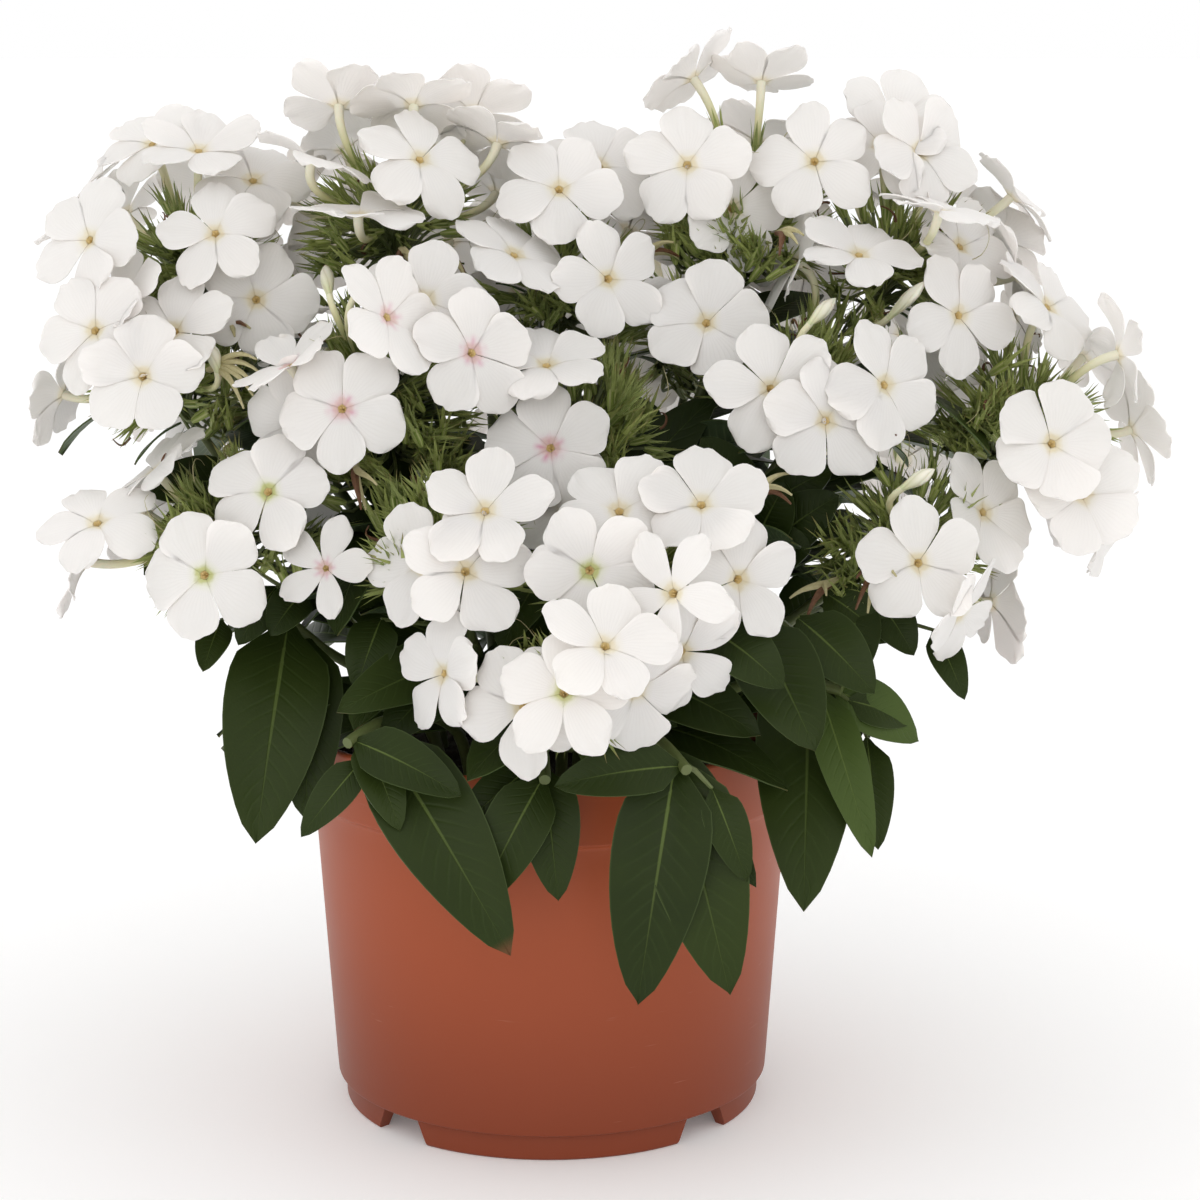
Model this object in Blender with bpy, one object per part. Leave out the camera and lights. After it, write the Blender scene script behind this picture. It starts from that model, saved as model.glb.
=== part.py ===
"""Potted garden phlox: white flower heads on leafy stems in a 15 cm plastic nursery pot.

Units are metres and +Z is up. The layout is written in millimetres about the pot's own axis,
with X across the front view, Y away from the viewer and Z up from the foot of the pot.
MIDDLE then moves everything, so that the origin is under the middle of the whole plant.
"""
import math

import bmesh
import bpy
from mathutils import Matrix, Vector
from mathutils.bvhtree import BVHTree

MM = 0.001
GAP = 0.0003
CLEARANCE = 1.5 * GAP
MIDDLE = Vector((-0.01200, -0.01066, 0.0))
UP = Vector((0.0, 0.0, 1.0))

# Pot
POT_SEGMENTS = 28
RIM_RADIUS = 0.0750
RIM_TOP = 0.1185
COLLAR_BOTTOM = 0.0985
COLLAR_STEP = 0.0021
BODY_TOP_RADIUS = 0.0730
BODY_FOOT_RADIUS = 0.0671
FOOT_HEIGHT = 0.0083
FOOT_RADIUS = 0.0646
FOOT_CHAMFER = 0.0012
FOOT_WIDTH = 0.0040
WALL = 0.0026
FLOOR = 0.0020
SHARP_EDGE = math.radians(40.0)
FEET = 4
NOTCH_TOP_HALF_WIDTH = 0.0068
NOTCH_FOOT_HALF_WIDTH = 0.0112
DRAIN_HOLES = 4
DRAIN_SIDES = 6
DRAIN_RADIUS = 0.0045
DRAIN_RING = 0.0400

# Soil
SOIL_EDGE = 0.1050
SOIL_CROWN = 0.1085
SOIL_SEGMENTS = 16
SOIL_SHOULDER = 0.6
HOLE_DEPTH = 0.0120
HOLE_SIDES = 5
HOLE_RADIUS = 0.0032
HOLE_CLEAR = 0.0008

# Stems and leaves
STEM_RADIUS = 0.0019
STEM_TIP_RADIUS = 0.0014
STEM_SIDES = 5
STEM_BENDS = 4
STEM_RISE = 0.45
STEM_RISE_LEAST = 0.024
STEM_LEAN_IN = 0.35
STEM_TO_HEAD = 1.6 * GAP
SHOOT_DROOP = 0.35
LEAF_THICKNESS = 0.0008
LEAF_STATIONS = ((0.0, 0.11), (0.36, 1.0), (0.70, 0.80))
LEAF_STAGGER = 0.0050
LEAF_FOLD = 0.20
LEAF_LENGTH = 0.066
LEAF_WIDTH = 0.023
LEAF_BOW = 0.008
LEAF_DROOP = 0.018
LEAF_OUTWARD = 0.5
LEAF_FACE_OUT = 0.9
FRONT_LEAF_RISE = 0.5
LEAF_SPACING = 0.018
LEAF_PAIR_TURN = math.pi / 2.0
LEAF_STEM_TURN = 0.8
LEAF_TOP = 0.35
LEAF_ROOT_LIMIT = 0.7
LEAF_LOWEST = 0.012
LEAF_OPEN_BELOW = 0.175
LEAF_OPEN_REACH = 0.106
LEAF_SCALES = (1.0, 0.92, 0.82, 0.7)
LEAF_SWINGS = (0, 5, -5, 10, -10, 16, -16)
LEAF_LIFTS = (0, 5, -5, 10, -10)

# Flower heads
PETALS = 5
PETAL_STEP = 2.0 * math.pi / PETALS
FLORET_RADIUS = 0.0165
NOTCH_RADIUS = 0.0085
PETAL_HALF_ANGLE = math.radians(27.0)
PETAL_THICKNESS = 0.0007
PETAL_WAVE = 0.0007
TUBE_SIDES = 3
TUBE_RADIUS = 0.0013
STALK_RADIUS = 0.0010
CORE_RADIUS = 0.0080
CORE_STRETCH = 1.25
CORE_BITE = 0.0030
RACHIS_BELOW = 0.026
TUFTS = 3
TUFT_REACH = 0.027
TUFT_TEETH = 4
TUFT_RADIUS = 0.0018
TOOTH_LENGTH = 0.0100
TOOTH_SPREAD = math.radians(30.0)
TUFT_ROLL = 0.9

# Small changes tried in turn where a floret meets another: leans, rolls and shifts (mm)
LEANS = ((0, 0), (0.14, 0), (-0.14, 0), (0, 0.14), (0, -0.14), (0.2, 0.2), (-0.2, 0.2),
         (0.2, -0.2), (-0.2, -0.2), (0.34, 0), (-0.34, 0), (0, 0.34), (0, -0.34))
ROLLS = (0.0, 0.3, 0.6, 0.9)
SHIFTS = (0, -3, 3, -6, 6, -9, 9, -12, 12, 16)
CUPS = (-0.8, 0.0, 0.8, -0.4, 0.4)
ROLL_STEP = 0.7

# Even florets on the sides and the back of the heads
GOLDEN_ANGLE = math.pi * (3.0 - math.sqrt(5.0))
FILL_PLACES = 26
FILL_SPAN = 1.35
FILL_SPACING = 0.035
FILL_LOWEST = -0.12
FILL_FROM_VIEW = -0.05
FILL_FREE_SHARE = 0.92

# The point that the front view was read from, about the pot's axis
VIEWER = Vector((0.0, -0.850, 0.3194))

# Heads: centre, reach of the florets, lean outwards, and foot of the stem (mm and degrees)
HEADS = {
    "low_front": ((8, -97, 148), 31, 48, (3, -34)),
    "front": ((25, -62, 172), 41, 30, (8, -21)),
    "front_left": ((-28, -58, 176), 38, 28, (-10, -20)),
    "low_left": ((-97, -35, 180), 40, 38, (-33, -16)),
    "low_right": ((106, -30, 178), 40, 38, (37, -13)),
    "middle": ((10, -18, 206), 40, 8, (3, -7)),
    "middle_left": ((-50, -22, 218), 44, 18, (-18, -8)),
    "middle_right": ((75, -12, 214), 44, 22, (24, -5)),
    "left": ((-114, -6, 222), 37, 34, (-45, -3)),
    "right": ((140, -5, 208), 42, 42, (48, 0)),
    "top": ((3, 15, 250), 42, 4, (1, 6)),
    "top_left": ((-48, 12, 266), 43, 14, (-16, 5)),
    "far_left": ((-108, 14, 254), 42, 30, (-34, 10)),
    "top_right": ((60, 17, 264), 43, 16, (20, 8)),
    "far_right": ((104, 14, 254), 45, 28, (35, 10)),
    "back_left": ((-88, 68, 206), 40, 34, (-29, 26)),
    "back": ((-22, 78, 228), 42, 24, (-9, 28)),
    "back_middle": ((48, 74, 226), 42, 26, (15, 28)),
    "back_right": ((112, 62, 206), 41, 36, (36, 26)),
    "low_back": ((12, 112, 176), 38, 44, (4, 42)),
}

# Florets seen in the front view: across and up in the plane of the pot's axis (mm). Where a
# floret doesn't face straight out of its head, the way it faces follows: turn to the right
# of the viewer's side, and lift above level (degrees), and for some how far back they stand
# from the near side of the head (mm).
FLORETS = {
    "low_front": [(4, 127), (17, 142), (-34, 133, -52, 12), (27, 127, 30, -15, 14),
                  (41, 139, 48, -12), (-9, 122, -10, 0, 12)],
    "front": [(12, 165, 0, 10), (37, 158, -26, 10), (58, 162, 20, 14), (46, 186, 12, 34),
              (21, 184)],
    "front_left": [(-26, 165, 2, 12), (-20, 184, -14, 34), (-40, 167, -34, 6, 12),
                   (-69, 166, -8, 14)],
    "low_left": [(-106, 164, -8, 12), (-86, 190, 2, 16), (-138, 181, -12, 55)],
    "low_right": [(113, 167, 6, 10), (127, 151, 42, -12)],
    "middle": [(0, 203, -4, 18), (5, 186, 0, 8), (-1, 229, 0, 64)],
    "middle_left": [(-37, 248, 14, 28), (-48, 243, 60, 14), (-23, 232, 6, 18),
                    (-63, 215, -4, 12), (-79, 229, -30, 62), (-77, 211, -24, 10)],
    "middle_right": [(67, 221, 6, 20), (84, 211, 8, 10), (102, 222, 24, 16),
                     (47, 241, -8, 24), (73, 259, -78, 22)],
    "left": [(-123, 225, -10, 16), (-137, 239, -40, 24), (-129, 248, -48, 40),
             (-113, 239, -20, 56)],
    "right": [(163, 188, 18, 12), (153, 204, 10, 20), (151, 246, 55, 38), (173, 231, 100, 8),
              (133, 183, 36, 20), (172, 178, 66, -18)],
    "top": [(3, 281, 2, 28), (15, 288, 10, 40), (-10, 262, 42, 52), (18, 254, 18, 10)],
    "top_left": [(-38, 290, 30, 38), (-57, 274, 10, 80), (-40, 306, 178, 50),
                 (-62, 306, 176, 50), (-22, 304, 165, 48), (-15, 295, 132, 48),
                 (-70, 290, 110, 68)],
    "far_left": [(-88, 248, 4, 12), (-100, 268, -12, 26), (-104, 293, 10, 64),
                 (-118, 295, -50, 46), (-138, 266, -34, 20), (-88, 284, 10, 50, 10)],
    "top_right": [(41, 288, -8, 16), (55, 275, 12, 24, 26), (42, 314, -120, 48),
                  (63, 313, 172, 60), (79, 289, -8, 16)],
    "far_right": [(103, 301, 14, 30), (111, 292, 34, 24, 6), (117, 275, 70, 78),
                  (124, 243, 28, 14), (99, 294, -10, 40, 6), (93, 262, 10, 60),
                  (124, 264, 44, 26, 8)],
}

# Heads with others close behind them, which carry no florets on their backs
INNER_HEADS = ("low_front", "front", "front_left", "middle", "middle_left", "middle_right")

# Leaves seen under the heads: base and tip, each across, up and depth behind the pot's axis,
# then the width and how far the blade bows out (mm)
LEAVES = {
    "low_left": [((-75, 156, -52), (-92, 79, -64), 30, 8),
                 ((-60, 152, -48), (-76, 86, -56), 22, 6)],
    "front": [((86, 141, -62), (65, 113, -80), 20, 4)],
    "front_left": [((-36, 147, -66), (-66, 121, -84), 18, 4),
                   ((-40, 150, -60), (-52, 112, -76), 20, 5)],
    "low_right": [((66, 150, -40), (79, 56, -92), 30, 6),
                  ((70, 146, -40), (96, 112, -52), 20, 6)],
    "middle": [((28, 185, -25), (50, 222, -18), 20, 4)],
    "middle_left": [((-38, 180, -30), (-62, 200, -28), 18, 4),
                    ((-36, 165, -30), (-68, 180, -30), 18, 4)],
    "middle_right": [((60, 180, -20), (46, 206, -24), 16, 4),
                     ((66, 185, -15), (86, 196, -20), 16, 4)],
    "left": [((-100, 196, -10), (-124, 190, -16), 16, 3)],
}

# Leafy shoots without flowers, which lean out over the rim: end point (across, up, depth),
# foot of the stem, and the leaves at the end: tip, width and bow (mm)
SHOOTS = {
    "shoot_left": ((-63, 111, -85), (-24, -33),
                   [((-28, 94, -100), 15, 4), ((-47, 83, -98), 13, 3),
                    ((-13, 41, -100), 27, 8)]),
    "shoot_front": ((-2, 99, -88), (-6, -44),
                    [((-24, 58, -98), 18, 6), ((2, 60, -95), 17, 4),
                     ((-31, 81, -92), 13, 4)]),
    "shoot_right": ((42, 102, -100), (16, -40),
                    [((1, 97, -108), 15, 4), ((27, 26, -102), 27, 8),
                     ((56, 29, -104), 28, 7), ((64, 64, -102), 13, 4)]),
    "shoot_side": ((90, 127, -55), (33, -30),
                   [((114, 111, -50), 16, 4), ((104, 72, -72), 14, 4)]),
}

COLOURS = {
    "pot": ((0.33, 0.10, 0.055), 0.5),
    "soil": ((0.035, 0.024, 0.016), 0.95),
    "leaf": ((0.035, 0.075, 0.018), 0.55),
    "petal": ((0.80, 0.77, 0.75), 0.6),
}


def clear_scene():
    for item in list(bpy.data.objects):
        bpy.data.objects.remove(item, do_unlink=True)


def material(name):
    colour, roughness = COLOURS[name]
    surface = bpy.data.materials.get(name)
    if surface is None:
        surface = bpy.data.materials.new(name)
        surface.use_nodes = True
        shader = surface.node_tree.nodes["Principled BSDF"]
        shader.inputs["Base Color"].default_value = (*colour, 1.0)
        shader.inputs["Roughness"].default_value = roughness
    return surface


def make_object(name, shape, surface):
    """A closed body from its points and faces, with its faces turned outwards."""
    points, faces = shape
    mesh = bpy.data.meshes.new(name)
    mesh.from_pydata([point + MIDDLE for point in points], [], faces)
    work = bmesh.new()
    work.from_mesh(mesh)
    bmesh.ops.recalc_face_normals(work, faces=work.faces)
    work.to_mesh(mesh)
    work.free()
    body = bpy.data.objects.new(name, mesh)
    body.data.materials.append(material(surface))
    bpy.context.scene.collection.objects.link(body)
    return body


def combine(body, others, operation):
    """Joins the others to the body, or cuts them from it, and removes them."""
    group = bpy.data.collections.new(body.name + "_tools")
    bpy.context.scene.collection.children.link(group)
    for other in others:
        bpy.context.scene.collection.objects.unlink(other)
        group.objects.link(other)
    step = body.modifiers.new("combine", "BOOLEAN")
    step.operation = operation
    step.operand_type = "COLLECTION"
    step.collection = group
    step.solver = "EXACT"
    bpy.context.view_layer.update()
    view = body.evaluated_get(bpy.context.evaluated_depsgraph_get())
    mesh = bpy.data.meshes.new_from_object(view)
    body.modifiers.remove(step)
    body.data = mesh
    for other in others:
        bpy.data.objects.remove(other, do_unlink=True)
    bpy.data.collections.remove(group)


def keep_main_body(body):
    """Drops loose scraps and the walls of sealed hollows, and leaves the outer skin."""
    work = bmesh.new()
    work.from_mesh(body.data)
    unseen = set(work.verts)
    islands = []
    while unseen:
        island = [unseen.pop()]
        for vert in island:
            for edge in vert.link_edges:
                other = edge.other_vert(vert)
                if other in unseen:
                    unseen.remove(other)
                    island.append(other)
        islands.append(island)
    islands.sort(key=len)
    for island in islands[:-1]:
        bmesh.ops.delete(work, geom=island, context="VERTS")
    work.to_mesh(body.data)
    work.free()


def turned(profile, segments):
    """A body turned about the Z axis from (radius, height) points; a zero radius is a pole."""
    points = []
    rings = []
    for radius, height in profile:
        count = 1 if radius == 0.0 else segments
        rings.append((len(points), count))
        for step in range(count):
            angle = 2.0 * math.pi * step / segments
            points.append(Vector((radius * math.sin(angle), -radius * math.cos(angle), height)))
    faces = []
    closing = rings if profile[0][0] == 0.0 else rings + rings[:1]
    for (low, low_count), (high, high_count) in zip(closing, closing[1:]):
        for step in range(segments):
            after = (step + 1) % segments
            if low_count == 1:
                faces.append((low, high + after, high + step))
            elif high_count == 1:
                faces.append((low + step, low + after, high))
            else:
                faces.append((low + step, low + after, high + after, high + step))
    return points, faces


def prism(centre, radius, bottom, top, sides):
    """An upright prism, for round holes."""
    points = []
    for height in (bottom, top):
        for step in range(sides):
            angle = 2.0 * math.pi * (step + 0.5) / sides
            flat = Vector((radius * math.cos(angle), radius * math.sin(angle), height))
            points.append(flat + Vector((centre[0], centre[1], 0.0)))
    faces = [tuple(reversed(range(sides))), tuple(range(sides, 2 * sides))]
    for step in range(sides):
        after = (step + 1) % sides
        faces.append((step, after, sides + after, sides + step))
    return points, faces


def foot_notch(angle):
    """A wedge that parts two feet, wider at the ground than at the top."""
    out = Vector((math.sin(angle), -math.cos(angle), 0.0))
    along = Vector((math.cos(angle), math.sin(angle), 0.0))
    points = []
    for reach in (FOOT_RADIUS - 2.0 * FOOT_WIDTH, RIM_RADIUS):
        for height, half in ((-FOOT_CHAMFER, NOTCH_FOOT_HALF_WIDTH),
                             (FOOT_HEIGHT - FOOT_CHAMFER, NOTCH_TOP_HALF_WIDTH)):
            for side in (-1.0, 1.0):
                points.append(out * reach + along * (half * side) + UP * height)
    faces = [(0, 1, 3, 2), (4, 6, 7, 5), (0, 4, 5, 1), (2, 3, 7, 6), (0, 2, 6, 4), (1, 5, 7, 3)]
    return points, faces


def inner_radius(height):
    """The inside of the pot's wall below the collar."""
    share = (height - FOOT_HEIGHT) / (COLLAR_BOTTOM - COLLAR_STEP - FOOT_HEIGHT)
    return BODY_FOOT_RADIUS + (BODY_TOP_RADIUS - BODY_FOOT_RADIUS) * share - WALL


def make_pot():
    floor_top = FOOT_HEIGHT + FLOOR
    foot_inside = FOOT_RADIUS - FOOT_WIDTH
    profile = [
        (0.0, floor_top),
        (inner_radius(floor_top), floor_top),
        (inner_radius(COLLAR_BOTTOM), COLLAR_BOTTOM),
        (RIM_RADIUS - WALL, RIM_TOP),
        (RIM_RADIUS, RIM_TOP),
        (RIM_RADIUS, COLLAR_BOTTOM),
        (BODY_TOP_RADIUS, COLLAR_BOTTOM - COLLAR_STEP),
        (BODY_FOOT_RADIUS, FOOT_HEIGHT),
        (FOOT_RADIUS, FOOT_CHAMFER),
        (FOOT_RADIUS - FOOT_CHAMFER, 0.0),
        (foot_inside, 0.0),
        (foot_inside - FOOT_CHAMFER, FOOT_HEIGHT),
        (0.0, FOOT_HEIGHT),
    ]
    pot = make_object("pot", turned(profile, POT_SEGMENTS), "pot")
    cutters = []
    for foot in range(FEET):
        angle = 2.0 * math.pi * (foot + 0.5) / FEET
        cutters.append(make_object("notch", foot_notch(angle), "pot"))
    for hole in range(DRAIN_HOLES):
        angle = 2.0 * math.pi * (hole + 0.5) / DRAIN_HOLES
        centre = (DRAIN_RING * math.cos(angle), DRAIN_RING * math.sin(angle))
        cut = prism(centre, DRAIN_RADIUS, FOOT_HEIGHT * 0.5, floor_top * 1.5, DRAIN_SIDES)
        cutters.append(make_object("drain", cut, "pot"))
    combine(pot, cutters, "DIFFERENCE")
    pot.data.shade_smooth()
    pot.data.set_sharp_from_angle(angle=SHARP_EDGE)


def make_soil():
    """The filling of the pot, with a plain blind hole for each stem."""
    floor_top = FOOT_HEIGHT + FLOOR + GAP
    share = 1.0 - (SOIL_EDGE - COLLAR_BOTTOM) / (RIM_TOP - COLLAR_BOTTOM)
    edge = inner_radius(COLLAR_BOTTOM) * share + (RIM_RADIUS - WALL) * (1.0 - share)
    profile = [
        (0.0, SOIL_CROWN),
        (edge * SOIL_SHOULDER, (SOIL_CROWN + SOIL_EDGE) * 0.5 + GAP),
        (edge - 2.0 * GAP, SOIL_EDGE),
        (inner_radius(COLLAR_BOTTOM) - 2.0 * GAP, COLLAR_BOTTOM),
        (inner_radius(floor_top) - 2.0 * GAP, floor_top),
        (0.0, floor_top),
    ]
    soil = make_object("soil", turned(profile, SOIL_SEGMENTS), "soil")
    holes = []
    feet = [data[3] for data in HEADS.values()] + [data[1] for data in SHOOTS.values()]
    for foot in feet:
        centre = (foot[0] * MM, foot[1] * MM)
        cut = prism(centre, HOLE_RADIUS, SOIL_EDGE - HOLE_DEPTH, SOIL_CROWN + HOLE_DEPTH,
                    HOLE_SIDES)
        holes.append(make_object("hole", cut, "soil"))
    combine(soil, holes, "DIFFERENCE")


def view_ray(across, up):
    """The line of sight through a place in the plane of the pot's axis."""
    return (Vector((across, 0.0, up)) * MM - VIEWER).normalized()


def seen(place):
    """The point that shows at (across, up) and lies depth mm behind the pot's axis."""
    across, up, depth = place
    ray = view_ray(across, up)
    return VIEWER + ray * ((depth * MM - VIEWER.y) / ray.y)


def on_dome(across, up, centre, reach):
    """The near point of a head's dome on a line of sight, or the dome's edge beside it."""
    ray = view_ray(across, up)
    along = (centre - VIEWER).dot(ray)
    miss = (VIEWER + ray * along - centre).length
    near = math.sqrt(max(reach * reach - miss * miss, 0.0))
    return VIEWER + ray * (along - near)


def direction(turn, lift):
    """A unit vector turned to the right of the viewer's side and lifted above level."""
    turn = math.radians(turn)
    lift = math.radians(lift)
    return Vector((math.sin(turn) * math.cos(lift), -math.cos(turn) * math.cos(lift),
                   math.sin(lift)))


def axes_about(facing, roll):
    """Two axes square to facing, the second as upright as it can be, rolled about it."""
    across = facing.cross(UP)
    if across.length < 0.05:
        across = Vector((1.0, 0.0, 0.0))
    across.normalize()
    up = across.cross(facing)
    turn = Matrix.Rotation(roll, 3, facing)
    return turn @ across, turn @ up


def tube(points, radii, sides):
    """A round rod through the points, closed at both ends."""
    verts = []
    side = None
    for index, point in enumerate(points):
        ahead = points[min(index + 1, len(points) - 1)]
        behind = points[max(index - 1, 0)]
        along = (ahead - behind).normalized()
        side = along.orthogonal() if side is None else side - along * side.dot(along)
        side.normalize()
        other = along.cross(side)
        for step in range(sides):
            angle = 2.0 * math.pi * step / sides
            ring = side * math.cos(angle) + other * math.sin(angle)
            verts.append(point + ring * radii[index])
    faces = [tuple(reversed(range(sides)))]
    faces.append(tuple(range(len(verts) - sides, len(verts))))
    for index in range(len(points) - 1):
        low = index * sides
        for step in range(sides):
            after = (step + 1) % sides
            faces.append((low + step, low + after, low + sides + after, low + sides + step))
    return verts, faces


def ring_points(centre, across, up, radius, count):
    """Points on a circle, the first halfway between two petals."""
    points = []
    for step in range(count):
        angle = 2.0 * math.pi * step / count - math.pi / PETALS
        points.append(centre + (across * math.sin(angle) + up * math.cos(angle)) * radius)
    return points


def floret(throat, facing, roll, cup, root):
    """A flat five-lobed flower and its slim tube, which runs back to its root in the head.

    Each petal has two shoulders, above and below; neighbours meet in a thin notch.
    """
    across, up = axes_about(facing, roll)
    verts = []
    for petal in range(PETALS):
        middle = PETAL_STEP * petal
        notch = middle - PETAL_STEP * 0.5
        verts.append(throat + (across * math.sin(notch) + up * math.cos(notch)) * NOTCH_RADIUS)
        for side, wave in ((-1.0, PETAL_WAVE), (1.0, -PETAL_WAVE)):
            angle = middle + side * PETAL_HALF_ANGLE
            flat = (across * math.sin(angle) + up * math.cos(angle)) * FLORET_RADIUS
            for face in (0.5, -0.5):
                verts.append(throat + flat + facing * (cup + wave + face * PETAL_THICKNESS))
    centre = len(verts)
    verts.append(throat + facing * (0.5 * PETAL_THICKNESS))
    along = (throat - root).normalized()
    low_across = (across - along * across.dot(along)).normalized()
    low_up = along.cross(low_across)
    low_up = low_up if low_up.dot(up) > 0.0 else -low_up
    collar = throat - facing * (0.5 * PETAL_THICKNESS)
    verts += ring_points(collar, across, up, TUBE_RADIUS, TUBE_SIDES)
    verts += ring_points(root, low_across, low_up, STALK_RADIUS, TUBE_SIDES)
    neck = centre + 1
    faces = [tuple(range(neck + TUBE_SIDES, neck + 2 * TUBE_SIDES))]
    for side in range(TUBE_SIDES):
        after = (side + 1) % TUBE_SIDES
        faces.append((neck + side, neck + TUBE_SIDES + side, neck + TUBE_SIDES + after,
                      neck + after))
    low_rim = []
    for petal in range(PETALS):
        notch = 5 * petal
        first_top, first_low, second_top, second_low = range(notch + 1, notch + 5)
        following = (notch + 5) % centre
        faces += [(centre, notch, first_top), (centre, first_top, second_top),
                  (centre, second_top, following)]
        faces += [(notch, first_low, first_top), (second_top, second_low, following),
                  (first_top, first_low, second_low, second_top)]
        low_rim += [notch, first_low, second_low]
    nearest = [neck + round(TUBE_SIDES * (step + 0.5) / len(low_rim)) % TUBE_SIDES
               for step in range(len(low_rim))]
    for step, vert in enumerate(low_rim):
        after = low_rim[(step + 1) % len(low_rim)]
        faces.append((nearest[step], after, vert))
        if nearest[step - 1] != nearest[step]:
            faces.append((nearest[step - 1], nearest[step], vert))
    return verts, faces


def tuft(root, tip, roll):
    """A spent calyx on its stalk: a slim stem that opens into pointed teeth."""
    facing = (tip - root).normalized()
    across, up = axes_about(facing, roll)
    verts = []
    for point, radius in ((root, STALK_RADIUS), (tip, TUFT_RADIUS)):
        for tooth in range(TUFT_TEETH):
            angle = 2.0 * math.pi * tooth / TUFT_TEETH
            verts.append(point + (across * math.sin(angle) + up * math.cos(angle)) * radius)
    for tooth in range(TUFT_TEETH):
        angle = 2.0 * math.pi * (tooth + 0.5) / TUFT_TEETH
        out = across * math.sin(angle) + up * math.cos(angle)
        lean = facing * math.cos(TOOTH_SPREAD) + out * math.sin(TOOTH_SPREAD)
        verts.append(tip + lean * TOOTH_LENGTH)
    verts.append(tip - facing * TUFT_RADIUS * 0.5)
    inside = len(verts) - 1
    faces = [tuple(reversed(range(TUFT_TEETH)))]
    for tooth in range(TUFT_TEETH):
        after = (tooth + 1) % TUFT_TEETH
        low, high = TUFT_TEETH + tooth, TUFT_TEETH + after
        point = 2 * TUFT_TEETH + tooth
        faces.append((tooth, after, high, low))
        faces.append((low, high, point))
        faces.append((high, inside, point))
        faces.append((inside, low, point))
    return verts, faces


def leaf(base, tip, width, bow, face):
    """A lance-shaped blade from base to tip, folded along its midrib and bowed towards face."""
    middle = (base + tip) * 0.5 + face.normalized() * (bow * 2.0)
    verts = []
    for share, part in LEAF_STATIONS + ((1.0, 0.0),):
        point = base * (1 - share) ** 2 + middle * (2 * share * (1 - share)) + tip * share ** 2
        along = (middle - base) * (1 - share) + (tip - middle) * share
        along.normalize()
        side = along.cross(face).normalized()
        top = side.cross(along)
        if part == 0.0:
            verts += [point + top * LEAF_THICKNESS * 0.5, point - top * LEAF_THICKNESS * 0.5]
            continue
        half = width * 0.5 * part
        for surface in (0.5, -0.5):
            for offset in (-1.0, 0.0, 1.0):
                edge = side * (half * offset) + top * (half * LEAF_FOLD * abs(offset))
                verts.append(point + edge + top * (LEAF_THICKNESS * surface))
    faces = [(0, 1, 4, 3), (1, 2, 5, 4)]
    last = 6 * (len(LEAF_STATIONS) - 1)
    for low in range(0, last, 6):
        high = low + 6
        for half in (0, 1):
            mirrored = half == 1
            for level in (0, 3):
                a, b = low + level + half, low + level + half + 1
                c, d = high + level + half + 1, high + level + half
                faces += [(a, b, d), (b, c, d)] if mirrored else [(a, b, c), (a, c, d)]
        for edge in (0, 2):
            faces.append((low + edge, high + edge, high + edge + 3, low + edge + 3))
    point = last + 6
    for half in (0, 1):
        faces.append((last + half, last + half + 1, point))
        faces.append((last + 3 + half, last + 4 + half, point + 1))
    faces.append((last, point, point + 1, last + 3))
    faces.append((last + 2, point, point + 1, last + 5))
    return verts, faces


def swollen(shape, margin):
    """The shape with its skin moved outwards by the margin."""
    points, faces = shape
    mesh = bmesh.new()
    verts = [mesh.verts.new(point) for point in points]
    for face in faces:
        mesh.faces.new([verts[index] for index in face])
    bmesh.ops.recalc_face_normals(mesh, faces=mesh.faces)
    mesh.normal_update()
    moved = [vert.co + vert.normal * margin for vert in verts]
    mesh.free()
    return moved, faces


class Space:
    """What stands where, so that the pieces of different nodes stay clear of each other."""

    def __init__(self):
        self.taken = []

    def add(self, node, shape, kind):
        points, faces = shape
        low = Vector([min(point[axis] for point in points) for axis in range(3)])
        high = Vector([max(point[axis] for point in points) for axis in range(3)])
        tree = BVHTree.FromPolygons(points, faces)
        self.taken.append((node, kind, low, high, tree))

    def clear(self, node, shape, own_kinds=()):
        """True where the shape touches nothing of other nodes, nor its own of those kinds."""
        points, faces = swollen(shape, CLEARANCE)
        low = [min(point[axis] for point in points) for axis in range(3)]
        high = [max(point[axis] for point in points) for axis in range(3)]
        tree = None
        for other, kind, other_low, other_high, other_tree in self.taken:
            if other == node and kind not in own_kinds:
                continue
            if any(low[axis] > other_high[axis] or high[axis] < other_low[axis]
                   for axis in range(3)):
                continue
            tree = tree or BVHTree.FromPolygons(points, faces)
            if tree.overlap(other_tree):
                return False
        return True


def bezier(points, share):
    a, b, c, d = points
    rest = 1.0 - share
    return (a * rest ** 3 + b * (3.0 * rest ** 2 * share) + c * (3.0 * rest * share ** 2)
            + d * share ** 3)


def stem_path(foot, end, lean_in):
    """Points of a stem that rises straight out of its hole and comes in to end along lean_in."""
    start = Vector((foot[0] * MM, foot[1] * MM, SOIL_EDGE - HOLE_DEPTH + HOLE_CLEAR))
    mouth = Vector((start.x, start.y, SOIL_CROWN))
    rise = end - mouth
    guides = (mouth, mouth + UP * max(rise.z * STEM_RISE, STEM_RISE_LEAST),
              end - lean_in * rise.length * STEM_LEAN_IN, end)
    return [start] + [bezier(guides, step / STEM_BENDS) for step in range(STEM_BENDS + 1)]


def head_frame(name):
    """Centre and outward axis of a head, and where its own stalk starts."""
    centre, reach, lean, foot = HEADS[name]
    centre = Vector(centre) * MM
    out = Vector((centre.x, centre.y, 0.0)).normalized()
    axis = UP * math.cos(math.radians(lean)) + out * math.sin(math.radians(lean))
    return centre, reach * MM, axis, centre - axis * RACHIS_BELOW


def stalk_root(name, point):
    """Where the stalk of a flower at the point starts, sunk in the core of its head."""
    centre = head_frame(name)[0]
    return centre + (point - centre).normalized() * (CORE_RADIUS - CORE_BITE)


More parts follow.
